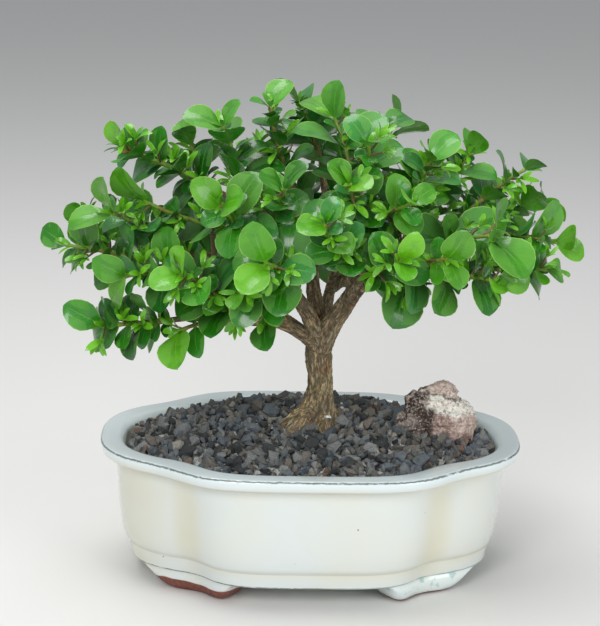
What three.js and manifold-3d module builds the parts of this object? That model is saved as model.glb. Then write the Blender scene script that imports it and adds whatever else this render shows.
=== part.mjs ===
// A natal plum bonsai in its lobed, footed ceramic pot, in millimetres, +Z up.
// The origin is on the table under the middle of the tree and pot, with the pot's long side along X.
// The tree is one grown trunk with its roots and woody limbs, and a leafy spray on every twig.

import * as THREE from 'three';
import { ConvexGeometry } from 'three/addons/geometries/ConvexGeometry.js';
import { mergeVertices } from 'three/addons/utils/BufferGeometryUtils.js';
import Module from 'manifold-3d';

// Clearance between two pieces that touch.
const GAP = 0.3;

// Pot: four rounded lobes, drawn as a long and a deep superellipse that melt into each other.
const POT_LENGTH = 203;
const POT_DEPTH = 146;
const POT_HEIGHT = 68;
const END_LOBE = { width: 120, roundness: 2.7 };
const FRONT_LOBE = { width: 140, roundness: 4 };
const LOBE_BLEND = 13;
const POT_SIDES = 48;
const FOOT_HEIGHT = 10;
const RIM_WIDTH = 9.5;
const FLOOR_THICKNESS = 7;
const WALL_INSET_TOP = 12;
const WALL_INSET_FOOT = 21;
const DRAIN_RADIUS = 8;
const DRAIN_SPACING = 76;
const FOOT_CENTRE_ANGLE = 37;
const FOOT_SPREAD = 19;

// Drain screens: square plastic plates with four windows, lying over the drain holes.
const SCREEN_SIZE = 24;
const SCREEN_THICKNESS = 1.4;
const SCREEN_BAR = 3;

// Soil and gravel: a low mound whose edge lies just below the rim.
const GROUND_EDGE = 64;
const GROUND_RISE = 9.5;
const GROUND_STEEPNESS = 4;
const GROUND_TILT = 5;
const GROUND_MARGIN = 3;
const GROUND_SIDES = 24;
const GROUND_SHARES = [1, 0.76, 0.42];
const GRAVEL_DEPTH = 7.6;
const BED_GAP = 0.85;
const STONE_SPACING = 12.4;
const STONE_RADIUS = 6.3;
const STONE_CORNERS = 6;
const STONE_SHAPE = [1.15, 0.9, 0.8];
const STONE_SINK = 0.6;
const STONE_TRIES = 3000;
const STONE_SEED = 41;
const GOLDEN_ANGLE = 2.4;

// Accent rock beside the trunk, from corners picked round it.
const ROCK_PLACE = [61, 2, 64];
const ROCK_CORNERS = [
  [-20, -8, 0], [-6, -14, 0], [12, -14, 0], [19, -7, 0], [18, 8, 0], [4, 13, 0], [-14, 9, 0],
  [-21, -5, 14], [-14, -11, 12], [-16, -4, 23], [-10, -8, 27], [-8, 7, 26], [4, 0, 30], [6, 7, 28],
  [-5, -10, 23], [7, -16, 16], [16, -11, 16], [19, -1, 14], [16, 5, 20], [11, 1, 25],
];

// Trunk: a flared foot, a slim waist and a swollen crotch where the limbs part.
const TRUNK = {
  path: [[3, 6, 48], [2, 5, 64], [2, 4, 74], [3, 3, 81], [4, 2, 89], [4, 1, 97], [3, 1, 107], [3, 1, 116]],
  radii: [8, 11.5, 10.3, 8.2, 6.2, 5.5, 6.2, 5.5],
};
const TRUNK_SIDES = 10;
const ROOT_SIDES = 4;
const LIMB_SIDES = 5;

// Surface roots that dive into the soil, and finer ones under it.
const ROOTS = [
  [[[3, 2, 82], [-5, -4, 74], [-13, -12, 67], [-20, -20, 52]], [5.4, 4.8, 3.6, 1.8]],
  [[[2, 3, 80], [-8, 0, 74], [-18, -3, 67], [-29, -6, 52]], [5, 4.2, 2.8, 1.6]],
  [[[5, 2, 80], [7, -6, 72], [10, -15, 64], [12, -25, 48]], [4.6, 3.8, 2.6, 1.6]],
  [[[6, 4, 76], [14, 1, 67], [25, -4, 59], [36, -8, 49]], [5, 4, 2.8, 1.6]],
  [[[6, 8, 78], [13, 14, 71], [22, 25, 63], [28, 33, 48]], [5, 4, 2.6, 1.5]],
  [[[4, 8, 78], [-4, 15, 72], [-14, 24, 63], [-22, 32, 48]], [5, 4, 2.8, 1.6]],
  [[[6, 6, 60], [0, -8, 50], [-6, -22, 36]], [5, 2.8, 1.2]],
  [[[6, 6, 60], [20, 8, 46], [40, 10, 32]], [5, 2.8, 1.2]],
  [[[6, 6, 60], [-10, 8, 48], [-34, 8, 33]], [5, 2.8, 1.2]],
];

// Woody limbs, from the crotch of the trunk or from another limb, with their first and last radius.
const LIMBS = {
  lowLeft: {
    path: [[2, 0, 112], [-6, -3, 119], [-15, -6, 124], [-30, -12, 127], [-47, -18, 129], [-58, -22, 131]],
    radii: [3.3, 1.3],
  },
  backLeft: {
    path: [[2, 3, 112], [-7, 7, 119], [-17, 12, 125], [-28, 18, 133], [-38, 23, 140], [-48, 26, 149]],
    radii: [3, 1.3],
  },
  left: {
    path: [
      [3, 0, 112], [-1, -3, 125], [-7, -7, 136], [-14, -11, 147], [-22, -12, 160], [-31, -9, 172],
      [-40, -4, 184],
    ],
    radii: [4.2, 1.3],
  },
  leftOut: {
    path: [[-13, -11, 145], [-30, -9, 150], [-52, -8, 153], [-74, -9, 152]],
    radii: [2.2, 1.2],
  },
  frontLeft: {
    path: [[-6, -6, 134], [-9, -19, 143], [-13, -33, 150]],
    radii: [2.2, 1.3],
  },
  middle: {
    path: [[3, 3, 112], [2, 7, 126], [0, 9, 138], [-1, 10, 152], [-5, 8, 168], [-9, 5, 184]],
    radii: [4.5, 1.4],
  },
  backTop: {
    path: [[-1, 10, 150], [2, 22, 162], [5, 33, 175], [5, 40, 190]],
    radii: [2.4, 1.3],
  },
  right: {
    path: [[4, 0, 112], [9, -2, 124], [14, -4, 132], [19, -5, 140], [26, -5, 148]],
    radii: [5, 3.3],
  },
  rightUp: {
    path: [[18, -5, 139], [18, -7, 151], [16, -7, 161], [18, -7, 173], [21, -6, 186]],
    radii: [3.1, 1.3],
  },
  rightOut: {
    path: [[25, -5, 147], [34, -2, 154], [45, 2, 158], [59, 3, 163], [70, 4, 168]],
    radii: [2.7, 1.3],
  },
  rightLow: {
    path: [[24, -5, 146], [33, -10, 151], [42, -14, 153], [56, -17, 151]],
    radii: [2.2, 1.2],
  },
  frontRight: {
    path: [[16, -5, 136], [20, -18, 148], [23, -31, 156]],
    radii: [2.2, 1.3],
  },
  back: {
    path: [[4, 3, 112], [6, 14, 123], [9, 28, 134], [13, 40, 146], [17, 48, 159]],
    radii: [3.6, 1.4],
  },
  backRight: {
    path: [[9, 27, 133], [24, 38, 141], [40, 45, 150], [54, 49, 158]],
    radii: [2.3, 1.3],
  },
};

// Leafy sprays: name, the limb and the share of it that each grows from, its tip, how far it bows up,
// its pairs of leaves and the length of a leaf.
const SPRAYS = [
  ['spray_left_tip', 'leftOut', 1, [-117, -14, 163], 3, 4, 17],
  ['spray_low_left', 'lowLeft', 1, [-99, -34, 130], -2, 4, 18],
  ['spray_low_hang', 'lowLeft', 0.8, [-63, -34, 128], 1, 2, 22],
  ['spray_mid_left', 'leftOut', 0.5, [-88, -38, 154], 4, 4, 18],
  ['spray_left_light', 'leftOut', 0.65, [-94, -26, 181], 5, 3, 20],
  ['spray_upper_left', 'left', 1, [-92, -6, 208], 2, 5, 17],
  ['spray_upper_left_in', 'left', 0.8, [-80, -24, 187], -4, 2, 26],
  ['spray_left_back', 'leftOut', 0.8, [-112, 34, 162], 6, 4, 17],
  ['spray_front_left', 'lowLeft', 0.6, [-62, -56, 160], 4, 4, 18],
  ['spray_branch', 'lowLeft', 0.3, [-44, -42, 145], 3, 3, 14],
  ['spray_front_trio', 'frontLeft', 1, [-24, -67, 168], 3, 3, 20],
  ['spray_front_low', 'frontLeft', 0.6, [-36, -52, 151], 4, 3, 15],
  ['spray_centre_left', 'left', 0.62, [-44, -48, 190], -3, 4, 20],
  ['spray_centre_high', 'left', 0.75, [-16, -46, 198], -4, 4, 16],
  ['spray_centre_front', 'frontRight', 1, [2, -64, 186], -3, 4, 16],
  ['spray_centre', 'rightUp', 0.6, [14, -44, 200], -5, 4, 16],
  ['spray_centre_low', 'frontRight', 0.55, [37, -61, 169], 3, 3, 16],
  ['spray_centre_right', 'rightUp', 0.75, [42, -46, 192], -3, 4, 16],
  ['spray_top_left', 'left', 0.95, [-44, -8, 219], 2, 4, 18],
  ['spray_top', 'middle', 1, [-22, 2, 227], 2, 4, 16],
  ['spray_top_back', 'backTop', 1, [-8, 32, 224], 2, 4, 17],
  ['spray_top_right', 'rightUp', 0.85, [8, 2, 222], 3, 3, 24],
  ['spray_crest_right', 'rightUp', 1, [31, 8, 217], 3, 4, 18],
  ['spray_upper_front', 'rightUp', 0.92, [22, -34, 216], 2, 3, 16],
  ['spray_upper_right', 'rightOut', 0.4, [52, -12, 206], 2, 4, 17],
  ['spray_shoulder', 'rightOut', 0.6, [73, 8, 206], 3, 4, 16],
  ['spray_back_crest', 'backLeft', 1, [-60, 30, 204], 2, 4, 17],
  ['spray_right_high', 'rightOut', 0.78, [100, 10, 198], 4, 4, 15],
  ['spray_right_back', 'rightOut', 0.86, [110, 28, 178], 3, 4, 16],
  ['spray_right_disc', 'rightOut', 0.68, [78, -40, 176], 3, 2, 26],
  ['spray_right_tip', 'rightOut', 1, [114, -6, 166], 3, 4, 18],
  ['spray_right_low', 'rightLow', 1, [108, -24, 157], 4, 4, 16],
  ['spray_right_front', 'rightLow', 0.55, [58, -54, 168], 3, 3, 17],
  ['spray_right_hang', 'rightLow', 0.6, [46, -30, 147], -2, 2, 22],
  ['spray_right_droop', 'rightLow', 0.82, [82, -46, 156], 3, 3, 18],
  ['spray_back_middle', 'back', 1, [14, 65, 174], 2, 3, 20],
  ['spray_back_low_left', 'back', 0.8, [-14, 64, 152], 3, 3, 20],
  ['spray_back_right_tip', 'backRight', 1, [88, 62, 166], 3, 3, 20],
  ['spray_back_right', 'backRight', 0.75, [48, 65, 178], 3, 3, 20],
  ['spray_back_left_tip', 'backLeft', 0.85, [-82, 54, 158], 3, 3, 21],
  ['spray_back_left', 'backLeft', 0.75, [-44, 66, 156], 3, 3, 20],
  ['spray_back_top_right', 'backTop', 0.6, [38, 50, 206], 3, 3, 20],
  ['spray_back_top_left', 'backTop', 0.45, [-32, 56, 196], 3, 3, 20],
  ['spray_back_shoulder', 'backRight', 0.5, [60, 36, 194], 2, 4, 18],
  ['spray_back_low_right', 'back', 0.55, [38, 64, 140], 4, 3, 18],
  ['spray_back_high', 'backTop', 0.8, [4, 66, 206], 2, 3, 18],
].map(([name, limb, at, tip, lift, pairs, leaf], index) => (
  { name, limb, at, tip, lift, pairs, leaf, seed: index + 1 }
));
const FIRST_PAIR = 0.3;
const LAST_PAIR = 0.97;

// Forked thorns: the share of each twig that one stands at, and its lengths.
const THORNS = {
  spray_left_tip: 0.4,
  spray_low_left: 0.3,
  spray_upper_left: 0.5,
  spray_top: 0.45,
  spray_shoulder: 0.5,
  spray_right_tip: 0.35,
};
const THORN_STALK = 4.5;
const THORN_POINT = 5;

// Leaves: the half width at each station along the blade, as a share of the full half width.
const BLADE_STATIONS = [0.12, 0.45, 0.8];
const BLADE_HALF_WIDTHS = [0.16, 1, 0.84];
const BLADE_RIB_STATION = 0.52;
const BLADE_THICKNESS = 1.5;
const BLADE_BOW = 0.1;
const BLADE_CUP = 0.2;
const TWIG_RADIUS = 1.25;
const LEAF_ROOT = 0.2;
const TWIG_STEPS = 3;
const TWIG_SIDES = 4;
const TWIG_SWAY = 5;
const CROWN_CENTRE = [0, 0, 150];
const BACK_LINE = 20;

// Clearance of a blade's middle surface from other blades, and from twigs and limbs beyond their radius.
const LEAF_MARGIN = 1.6;
const LINE_MARGIN = 1.1;

// Turn round the twig, twist, pitch and scale that a leaf tries until it is clear of its neighbours.
const LEAF_TRIES = [
  [0, 0, 0, 1], [0, 0.4, 0, 1], [0, -0.4, 0, 1], [0.4, 0, 0.2, 1], [-0.4, 0, 0.2, 1], [0, 0, -0.35, 1],
  [0, 0, 0.45, 1], [0.7, 0.3, 0, 1], [-0.7, -0.3, 0, 1], [0.4, 0, -0.5, 0.9], [-0.4, 0, -0.5, 0.9],
  [0, 0.8, 0.3, 0.85], [0, -0.8, 0.3, 0.85], [0.9, 0, 0.5, 0.8], [-0.9, 0, 0.5, 0.8], [0, 0, 0.8, 0.75],
  [0.5, 0.5, -0.3, 0.65], [-0.5, -0.5, -0.3, 0.65], [0, 0, 0.5, 0.6], [1.2, 0, 0, 0.6], [-1.2, 0, 0, 0.6],
];

const wasm = await Module();
wasm.setup();

function vector(place) {
  return new THREE.Vector3(place[0], place[1], place[2]);
}

// Seeded draws, so that the tree is the same each time.
function seededRandom(seed) {
  let state = seed >>> 0;
  return function draw() {
    state = (state + 0x6d2b79f5) >>> 0;
    let mixed = Math.imul(state ^ (state >>> 15), state | 1);
    mixed = (mixed + Math.imul(mixed ^ (mixed >>> 7), mixed | 61)) ^ mixed;
    return ((mixed ^ (mixed >>> 14)) >>> 0) / 4294967296;
  };
}

// A triangle mesh from a list of points and a list of triangles.
function surface(points, triangles) {
  const geometry = new THREE.BufferGeometry();
  const places = points.flatMap((point) => point.toArray());
  geometry.setAttribute('position', new THREE.Float32BufferAttribute(places, 3));
  geometry.setIndex(triangles.flat());
  return geometry;
}

// A solid that can be joined and cut, from a closed mesh.
function solid(geometry) {
  const bare = geometry.clone();
  for (const name of Object.keys(bare.attributes)) {
    if (name !== 'position') bare.deleteAttribute(name);
  }
  const merged = mergeVertices(bare, 1e-4);
  return new wasm.Manifold(new wasm.Mesh({
    numProp: 3,
    vertProperties: Float32Array.from(merged.attributes.position.array),
    triVerts: Uint32Array.from(merged.index.array),
  }));
}

function joined(solids) {
  let level = solids;
  while (level.length > 1) {
    const next = [];
    for (let i = 0; i < level.length; i += 2) {
      next.push(i + 1 < level.length ? level[i].add(level[i + 1]) : level[i]);
    }
    level = next;
  }
  return level[0];
}

// The largest body of a solid, without the crumbs that a cut leaves.
function mainBody(manifold) {
  const bodies = manifold.decompose();
  return bodies.reduce((best, body) => (body.volume() > best.volume() ? body : best));
}

function geometryOf(manifold) {
  const mesh = manifold.getMesh();
  const geometry = new THREE.BufferGeometry();
  const points = new Float32Array(mesh.numVert * 3);
  for (let i = 0; i < mesh.numVert; i += 1) {
    points.set(mesh.vertProperties.subarray(i * mesh.numProp, i * mesh.numProp + 3), i * 3);
  }
  geometry.setAttribute('position', new THREE.BufferAttribute(points, 3));
  geometry.setIndex(Array.from(mesh.triVerts));
  return geometry;
}

// A skin over closed rings of points, from the first ring to the last, with a fan over each end.
function loft(rings) {
  const count = rings[0].length;
  const points = rings.flat();
  const triangles = [];
  for (let ring = 0; ring + 1 < rings.length; ring += 1) {
    for (let i = 0; i < count; i += 1) {
      const a = ring * count + i;
      const b = ring * count + ((i + 1) % count);
      triangles.push([a, b, b + count], [a, b + count, a + count]);
    }
  }
  const last = (rings.length - 1) * count;
  const start = points.push(centreOf(rings[0])) - 1;
  const end = points.push(centreOf(rings[rings.length - 1])) - 1;
  for (let i = 0; i < count; i += 1) {
    const next = (i + 1) % count;
    triangles.push([start, next, i], [end, last + i, last + next]);
  }
  return surface(points, triangles);
}

function centreOf(ring) {
  const centre = new THREE.Vector3();
  for (const point of ring) centre.add(point);
  return centre.divideScalar(ring.length);
}

// A tapering tube along a path, with ridges where a section is given as shares of the radius.
function tube(path, radii, sides, swell = 0, section = null) {
  const points = path.map((p) => p.clone());
  const first = points[0].clone().sub(points[1]).normalize();
  const final = points[points.length - 1].clone().sub(points[points.length - 2]).normalize();
  points[0].addScaledVector(first, swell);
  points[points.length - 1].addScaledVector(final, swell);
  let across = null;
  const rings = points.map((point, index) => {
    const before = points[Math.max(index - 1, 0)];
    const after = points[Math.min(index + 1, points.length - 1)];
    const along = after.clone().sub(before).normalize();
    if (!across) across = new THREE.Vector3(1, 0, 0).addScaledVector(along, -along.x);
    if (across.length() < 0.1) across = new THREE.Vector3(0, 1, 0).addScaledVector(along, -along.y);
    across.addScaledVector(along, -across.dot(along)).normalize();
    const over = along.clone().cross(across);
    return Array.from({ length: sides }, (_, side) => {
      const angle = (2 * Math.PI * side) / sides;
      const ridge = section ? section(angle, index) : 1;
      const radius = radii[index] * ridge + swell / Math.cos(Math.PI / sides);
      return point.clone()
        .addScaledVector(across, radius * Math.cos(angle))
        .addScaledVector(over, radius * Math.sin(angle));
    });
  });
  return loft(rings);
}

// Pot

function superellipse(angle, halfLength, halfWidth, roundness) {
  const x = Math.abs(Math.cos(angle) / halfLength) ** roundness;
  const y = Math.abs(Math.sin(angle) / halfWidth) ** roundness;
  return (x + y) ** (-1 / roundness);
}

// Distance from the pot's axis to its lobed outline, drawn in by an inset.
function potRadius(angle, inset) {
  const end = superellipse(angle, POT_LENGTH / 2 - inset, END_LOBE.width / 2 - inset, END_LOBE.roundness);
  const halfFront = FRONT_LOBE.width / 2 - inset;
  const front = superellipse(angle, halfFront, POT_DEPTH / 2 - inset, FRONT_LOBE.roundness);
  const blend = LOBE_BLEND - inset / 3;
  const share = Math.min(1, Math.max(0, 0.5 + (0.5 * (end - front)) / blend));
  return front * (1 - share) + end * share + blend * share * (1 - share);
}

function potPoint(angle, inset, z) {
  const radius = potRadius(angle, inset);
  return new THREE.Vector3(radius * Math.cos(angle), radius * Math.sin(angle), z);
}

// Point at an angle on the straight side between two of the pot's corners.
function potSidePoint(angle, inset, z) {
  const step = (2 * Math.PI) / POT_SIDES;
  const index = Math.floor(angle / step + 1e-6);
  const from = potPoint(index * step, inset, z);
  const to = potPoint((index + 1) * step, inset, z);
  const ray = new THREE.Vector2(-Math.sin(angle), Math.cos(angle));
  const [low, high] = [from, to].map((point) => point.x * ray.x + point.y * ray.y);
  return from.lerp(to, low / (low - high));
}

function potRing(inset, z) {
  return Array.from({ length: POT_SIDES }, (_, i) => potPoint((2 * Math.PI * i) / POT_SIDES, inset, z));
}

// Height and inset of each line of the pot's wall, from the underside up and over the rim.
const POT_PROFILE = [
  [FOOT_HEIGHT, WALL_INSET_FOOT],
  [FOOT_HEIGHT + 0.7, 14.6],
  [FOOT_HEIGHT + 7, 13.6],
  [FOOT_HEIGHT + 9, 12],
  [FOOT_HEIGHT + 15, 10.4],
  [POT_HEIGHT - 34, 9.2],
  [POT_HEIGHT - 6.5, 7.6],
  [POT_HEIGHT - 5.6, 0.8],
  [POT_HEIGHT - 0.9, 0],
  [POT_HEIGHT, 0.9],
  [POT_HEIGHT, RIM_WIDTH],
  [POT_HEIGHT - 2, WALL_INSET_TOP],
  [30, 15.5],
  [FOOT_HEIGHT + FLOOR_THICKNESS, WALL_INSET_FOOT],
];

// Share of the foot's height that its scrolled lower edge reaches, from one end to the other.
const FOOT_SCROLL = [[0, 0.05], [0.07, 0.4], [0.13, 0.45], [0.2, 0.85], [0.28, 1], [0.42, 1]];

// One scrolled foot round a hollow corner of the pot.
function foot(centreAngle) {
  const top = FOOT_HEIGHT + 2.6;
  const scroll = FOOT_SCROLL.concat(FOOT_SCROLL.map(([t, share]) => [1 - t, share]).reverse());
  const rings = scroll.map(([t, share]) => {
    const angle = THREE.MathUtils.degToRad(centreAngle + (2 * t - 1) * FOOT_SPREAD);
    const low = (FOOT_HEIGHT - 0.7) * (1 - share);
    const section = [[17, top], [14.7, low + 6.5 * share], [17.6, low], [28, low], [30.5, top]];
    return section.map(([inset, z]) => potSidePoint(angle, inset, z));
  });
  return solid(loft(rings));
}

function pot() {
  let body = solid(loft(POT_PROFILE.map(([z, inset]) => potRing(inset, z))));
  const feet = [1, -1].flatMap((end) => [1, -1].map((side) => {
    const angle = end > 0 ? side * FOOT_CENTRE_ANGLE : 180 - side * FOOT_CENTRE_ANGLE;
    return foot(angle);
  }));
  body = joined([body, ...feet]);
  for (const side of [-1, 1]) {
    const drain = new THREE.CylinderGeometry(DRAIN_RADIUS, DRAIN_RADIUS, 3 * FLOOR_THICKNESS, 14);
    drain.rotateX(Math.PI / 2).translate((side * DRAIN_SPACING) / 2, 0, FOOT_HEIGHT);
    body = body.subtract(solid(drain));
  }
  return body;
}

// Drain screens

function slab(size, height, x, y, z) {
  return solid(new THREE.BoxGeometry(size, size, height).translate(x, y, z + height / 2));
}

function drainScreen(side, swell = 0) {
  const x = (side * DRAIN_SPACING) / 2;
  const low = FOOT_HEIGHT + FLOOR_THICKNESS + GAP - swell;
  const plate = slab(SCREEN_SIZE + 2 * swell, SCREEN_THICKNESS + 2 * swell, x, 0, low);
  if (swell > 0) return plate;
  const window = (SCREEN_SIZE - 3 * SCREEN_BAR) / 2;
  const offset = (window + SCREEN_BAR) / 2;
  const windows = [-1, 1].flatMap((u) => [-1, 1].map((v) => (
    slab(window, 3 * SCREEN_THICKNESS, x + u * offset, v * offset, low - SCREEN_THICKNESS)
  )));
  return windows.reduce((screen, opening) => screen.subtract(opening), plate);
}

// Soil and gravel

// Height of the gravel's top, from the distance to the axis as a share of the pot's inside.
function groundHeight(x, y) {
  const share = Math.hypot(x, y) / potRadius(Math.atan2(y, x), WALL_INSET_TOP);
  const rise = 1 - Math.min(share, 1) ** GROUND_STEEPNESS;
  return GROUND_EDGE + GROUND_RISE * rise + (GROUND_TILT * rise * y) / (POT_DEPTH / 2);
}

function groundRing(share, depth, roughness = () => 0) {
  return Array.from({ length: GROUND_SIDES }, (_, i) => {
    const angle = (2 * Math.PI * i) / GROUND_SIDES;
    const radius = share * potRadius(angle, WALL_INSET_TOP + GROUND_MARGIN);
    const x = radius * Math.cos(angle);
    const y = radius * Math.sin(angle);
    return new THREE.Vector3(x, y, groundHeight(x, y) - depth + roughness());
  });
}

function wallRing(inset, z) {
  const step = (2 * Math.PI) / GROUND_SIDES;
  return Array.from({ length: GROUND_SIDES }, (_, i) => potPoint(step * i, inset + GROUND_MARGIN, z));
}

function soil(hollows) {
  const rings = [
    wallRing(WALL_INSET_FOOT + 1, FOOT_HEIGHT + FLOOR_THICKNESS + GAP),
    wallRing(WALL_INSET_FOOT - 5, 30),
    ...GROUND_SHARES.map((share) => groundRing(share, GRAVEL_DEPTH + BED_GAP)),
  ];
  return mainBody(hollows.reduce((body, hollow) => body.subtract(hollow), solid(loft(rings))));
}

// One broken stone: the hull of points scattered over an ellipsoid.
function stone(random, place, radius) {
  const points = [];
  const turn = random() * Math.PI;
  for (let i = 0; i < STONE_CORNERS; i += 1) {
    const height = 1 - (2 * (i + 0.5)) / STONE_CORNERS;
    const angle = i * GOLDEN_ANGLE + random() * 0.9;
    const ring = Math.sqrt(1 - height * height);
    const size = radius * (0.8 + 0.35 * random());
    const point = new THREE.Vector3(ring * Math.cos(angle), ring * Math.sin(angle), height);
    point.multiply(vector(STONE_SHAPE)).multiplyScalar(size);
    points.push(point.applyAxisAngle(new THREE.Vector3(0, 0, 1), turn).add(place));
  }
  return solid(new ConvexGeometry(points));
}

// Broken lava gravel: a thin rough bed with a stone on every spot of a loose, seeded scatter.
function gravel(hollows) {
  const random = seededRandom(STONE_SEED);
  const rough = () => (random() - 0.5) * 1.4;
  const rings = [
    ...GROUND_SHARES.map((share) => groundRing(share, GRAVEL_DEPTH)).reverse(),
    ...GROUND_SHARES.map((share) => (share === 1 ? groundRing(share, 1.2) : groundRing(share, 1, rough))),
  ];
  const bed = solid(loft(rings));
  const spots = [];
  for (let tries = 0; tries < STONE_TRIES; tries += 1) {
    const x = (random() - 0.5) * POT_LENGTH;
    const y = (random() - 0.5) * POT_DEPTH;
    const edge = potRadius(Math.atan2(y, x), WALL_INSET_TOP + STONE_RADIUS * 1.25);
    const spot = new THREE.Vector3(x, y, groundHeight(x, y) - STONE_SINK);
    const free = spots.every((other) => other.distanceTo(spot) > STONE_SPACING);
    if (Math.hypot(x, y) < edge && free) spots.push(spot);
  }
  const stones = spots.map((spot) => stone(random, spot, STONE_RADIUS * (0.8 + 0.35 * random())));
  const whole = joined([bed, ...stones]);
  return mainBody(hollows.reduce((body, hollow) => body.subtract(hollow), whole));
}

// Accent rock: one broken lump with a steep front and a leaning top, bedded in the gravel.
function rock(swell = 0) {
  const corners = ROCK_CORNERS.map((corner) => {
    const point = vector(corner);
    const outward = point.clone().setZ(point.z - 13).normalize();
    return point.addScaledVector(outward, swell).add(vector(ROCK_PLACE));
  });
  return solid(new ConvexGeometry(corners));
}

// Trunk, roots and limbs

// Radius of the ridged bark: the ridges run up the trunk and turn slowly round it.
function barkRidge(angle, index) {
  return 1 + 0.1 * Math.cos(3 * angle + 0.5 * index) + 0.07 * Math.cos(5 * angle - 0.4 * index);
}

function trunk(swell = 0) {
  const stem = tube(TRUNK.path.map(vector), TRUNK.radii, TRUNK_SIDES, swell, barkRidge);
  const roots = ROOTS.map(([path, radii]) => tube(path.map(vector), radii, ROOT_SIDES, swell));
  const limbs = Object.values(LIMBS).map(({ path, radii }) => {
    const [first, last] = radii;
    const sizes = path.map((_, i) => first + ((last - first) * i) / (path.length - 1));
    return tube(path.map(vector), sizes, LIMB_SIDES, swell);
  });
  return joined([stem, ...roots, ...limbs].map(solid));
}

// Place and direction on a path, at a share of its stretches from its foot.
function onPath(path, share) {
  const reach = share * (path.length - 1);
  const index = Math.min(Math.floor(reach), path.length - 2);
  const place = path[index].clone().lerp(path[index + 1], reach - index);
  return [place, path[index + 1].clone().sub(path[index]).normalize()];
}

// Sprays

// The twig's centre line: a few straight stretches of a bow from its limb to its tip.
function twigPath(spray) {
  const [start] = onPath(LIMBS[spray.limb].path.map(vector), spray.at);
  const tip = vector(spray.tip);
  const middle = start.clone().lerp(tip, 0.5);
  middle.x += TWIG_SWAY * Math.sin(2.4 * spray.seed);
  middle.y += TWIG_SWAY * Math.cos(2.4 * spray.seed);
  middle.z += spray.lift;
  return new THREE.QuadraticBezierCurve3(start, middle, tip).getPoints(TWIG_STEPS);
}

// Half width of a blade at a share of its length, as a share of the full half width.
function bladeOutline(share) {
  const stations = [0, ...BLADE_STATIONS, 1];
  const widths = [0, ...BLADE_HALF_WIDTHS, 0];
  for (let i = 0; i + 1 < stations.length; i += 1) {
    if (share <= stations[i + 1]) {
      const part = (share - stations[i]) / (stations[i + 1] - stations[i]);
      return widths[i] + (widths[i + 1] - widths[i]) * Math.max(part, 0);
    }
  }
  return 0;
}

// Height of the blade over its chord: bowed along the rib, with the edges raised.
function bladeRise(leaf, share, side) {
  const cup = BLADE_CUP * leaf.halfWidth * side * side * bladeOutline(share);
  return leaf.length * BLADE_BOW * 4 * share * (1 - share) + cup;
}

function bladePoint(leaf, share, side, lift = 0) {
  return leaf.base.clone()
    .addScaledVector(leaf.along, leaf.length * share)
    .addScaledVector(leaf.across, leaf.halfWidth * bladeOutline(share) * side)
    .addScaledVector(leaf.face, bladeRise(leaf, share, side) + lift);
}

// Directions of a leaf from its axis and the way that its face looks, turned by a twist and a pitch.
function leafFrame(axis, facing, twist, pitch) {
  const along = axis.clone().normalize();
  let face = facing.clone().addScaledVector(along, -facing.dot(along)).normalize();
  let across = along.clone().cross(face);
  const pitched = along.clone().multiplyScalar(Math.cos(pitch)).addScaledVector(face, Math.sin(pitch));
  face = face.multiplyScalar(Math.cos(pitch)).addScaledVector(along, -Math.sin(pitch));
  const turned = face.clone().multiplyScalar(Math.cos(twist)).addScaledVector(across, Math.sin(twist));
  across = across.multiplyScalar(Math.cos(twist)).addScaledVector(face, -Math.sin(twist));
  return { along: pitched, across, face: turned };
}

// Rows of points over a blade, for the test of what it meets.
function bladeRows(leaf) {
  const shares = [0.14, 0.32, 0.5, 0.68, 0.86, 0.99];
  const sides = [-1, -0.5, 0, 0.5, 1];
  const rows = sides.map((side) => shares.map((share) => bladePoint(leaf, share, side)));
  return rows.concat(shares.map((share, i) => rows.map((row) => row[i])));
}

// Whether a row of points with a radius comes near a blade or passes through it.
function rowMeets(row, leaf, margin) {
  let before = null;
  for (const point of row) {
    const offset = point.clone().sub(leaf.base);
    const share = offset.dot(leaf.along) / leaf.length;
    const width = offset.dot(leaf.across);
    const reach = bladeOutline(Math.min(Math.max(share, 0.1), 0.9)) * leaf.halfWidth + margin;
    const slack = margin / leaf.length;
    const inside = share > -slack && share < 1 + slack && Math.abs(width) < reach;
    const side = Math.min(Math.abs(width) / leaf.halfWidth, 1);
    const height = offset.dot(leaf.face) - bladeRise(leaf, Math.min(Math.max(share, 0), 1), side);
    if (inside && Math.abs(height) < margin) return true;
    if (before && inside && before.inside && before.height * height < 0) return true;
    before = { inside, height };
  }
  return false;
}

// Whether a leaf is clear of the leaves, twigs and limbs near it.
function isClear(leaf, rows, leaves, lines) {
  const middle = bladePoint(leaf, 0.5, 0);
  for (const other of leaves) {
    const near = (other.length + leaf.length) * 0.6 + LEAF_MARGIN;
    if (other.middle.distanceTo(middle) < near) {
      if (rows.some((row) => rowMeets(row, other, LEAF_MARGIN))) return false;
      if (other.rows.some((row) => rowMeets(row, leaf, LEAF_MARGIN))) return false;
    }
  }
  return lines.every((line) => {
    if (line.owner === leaf.owner) return true;
    const close = line.points.filter((point) => point.distanceTo(middle) < leaf.length + line.radius + 6);
    return close.length === 0 || !rowMeets(close, leaf, line.radius + LINE_MARGIN);
  });
}

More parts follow.
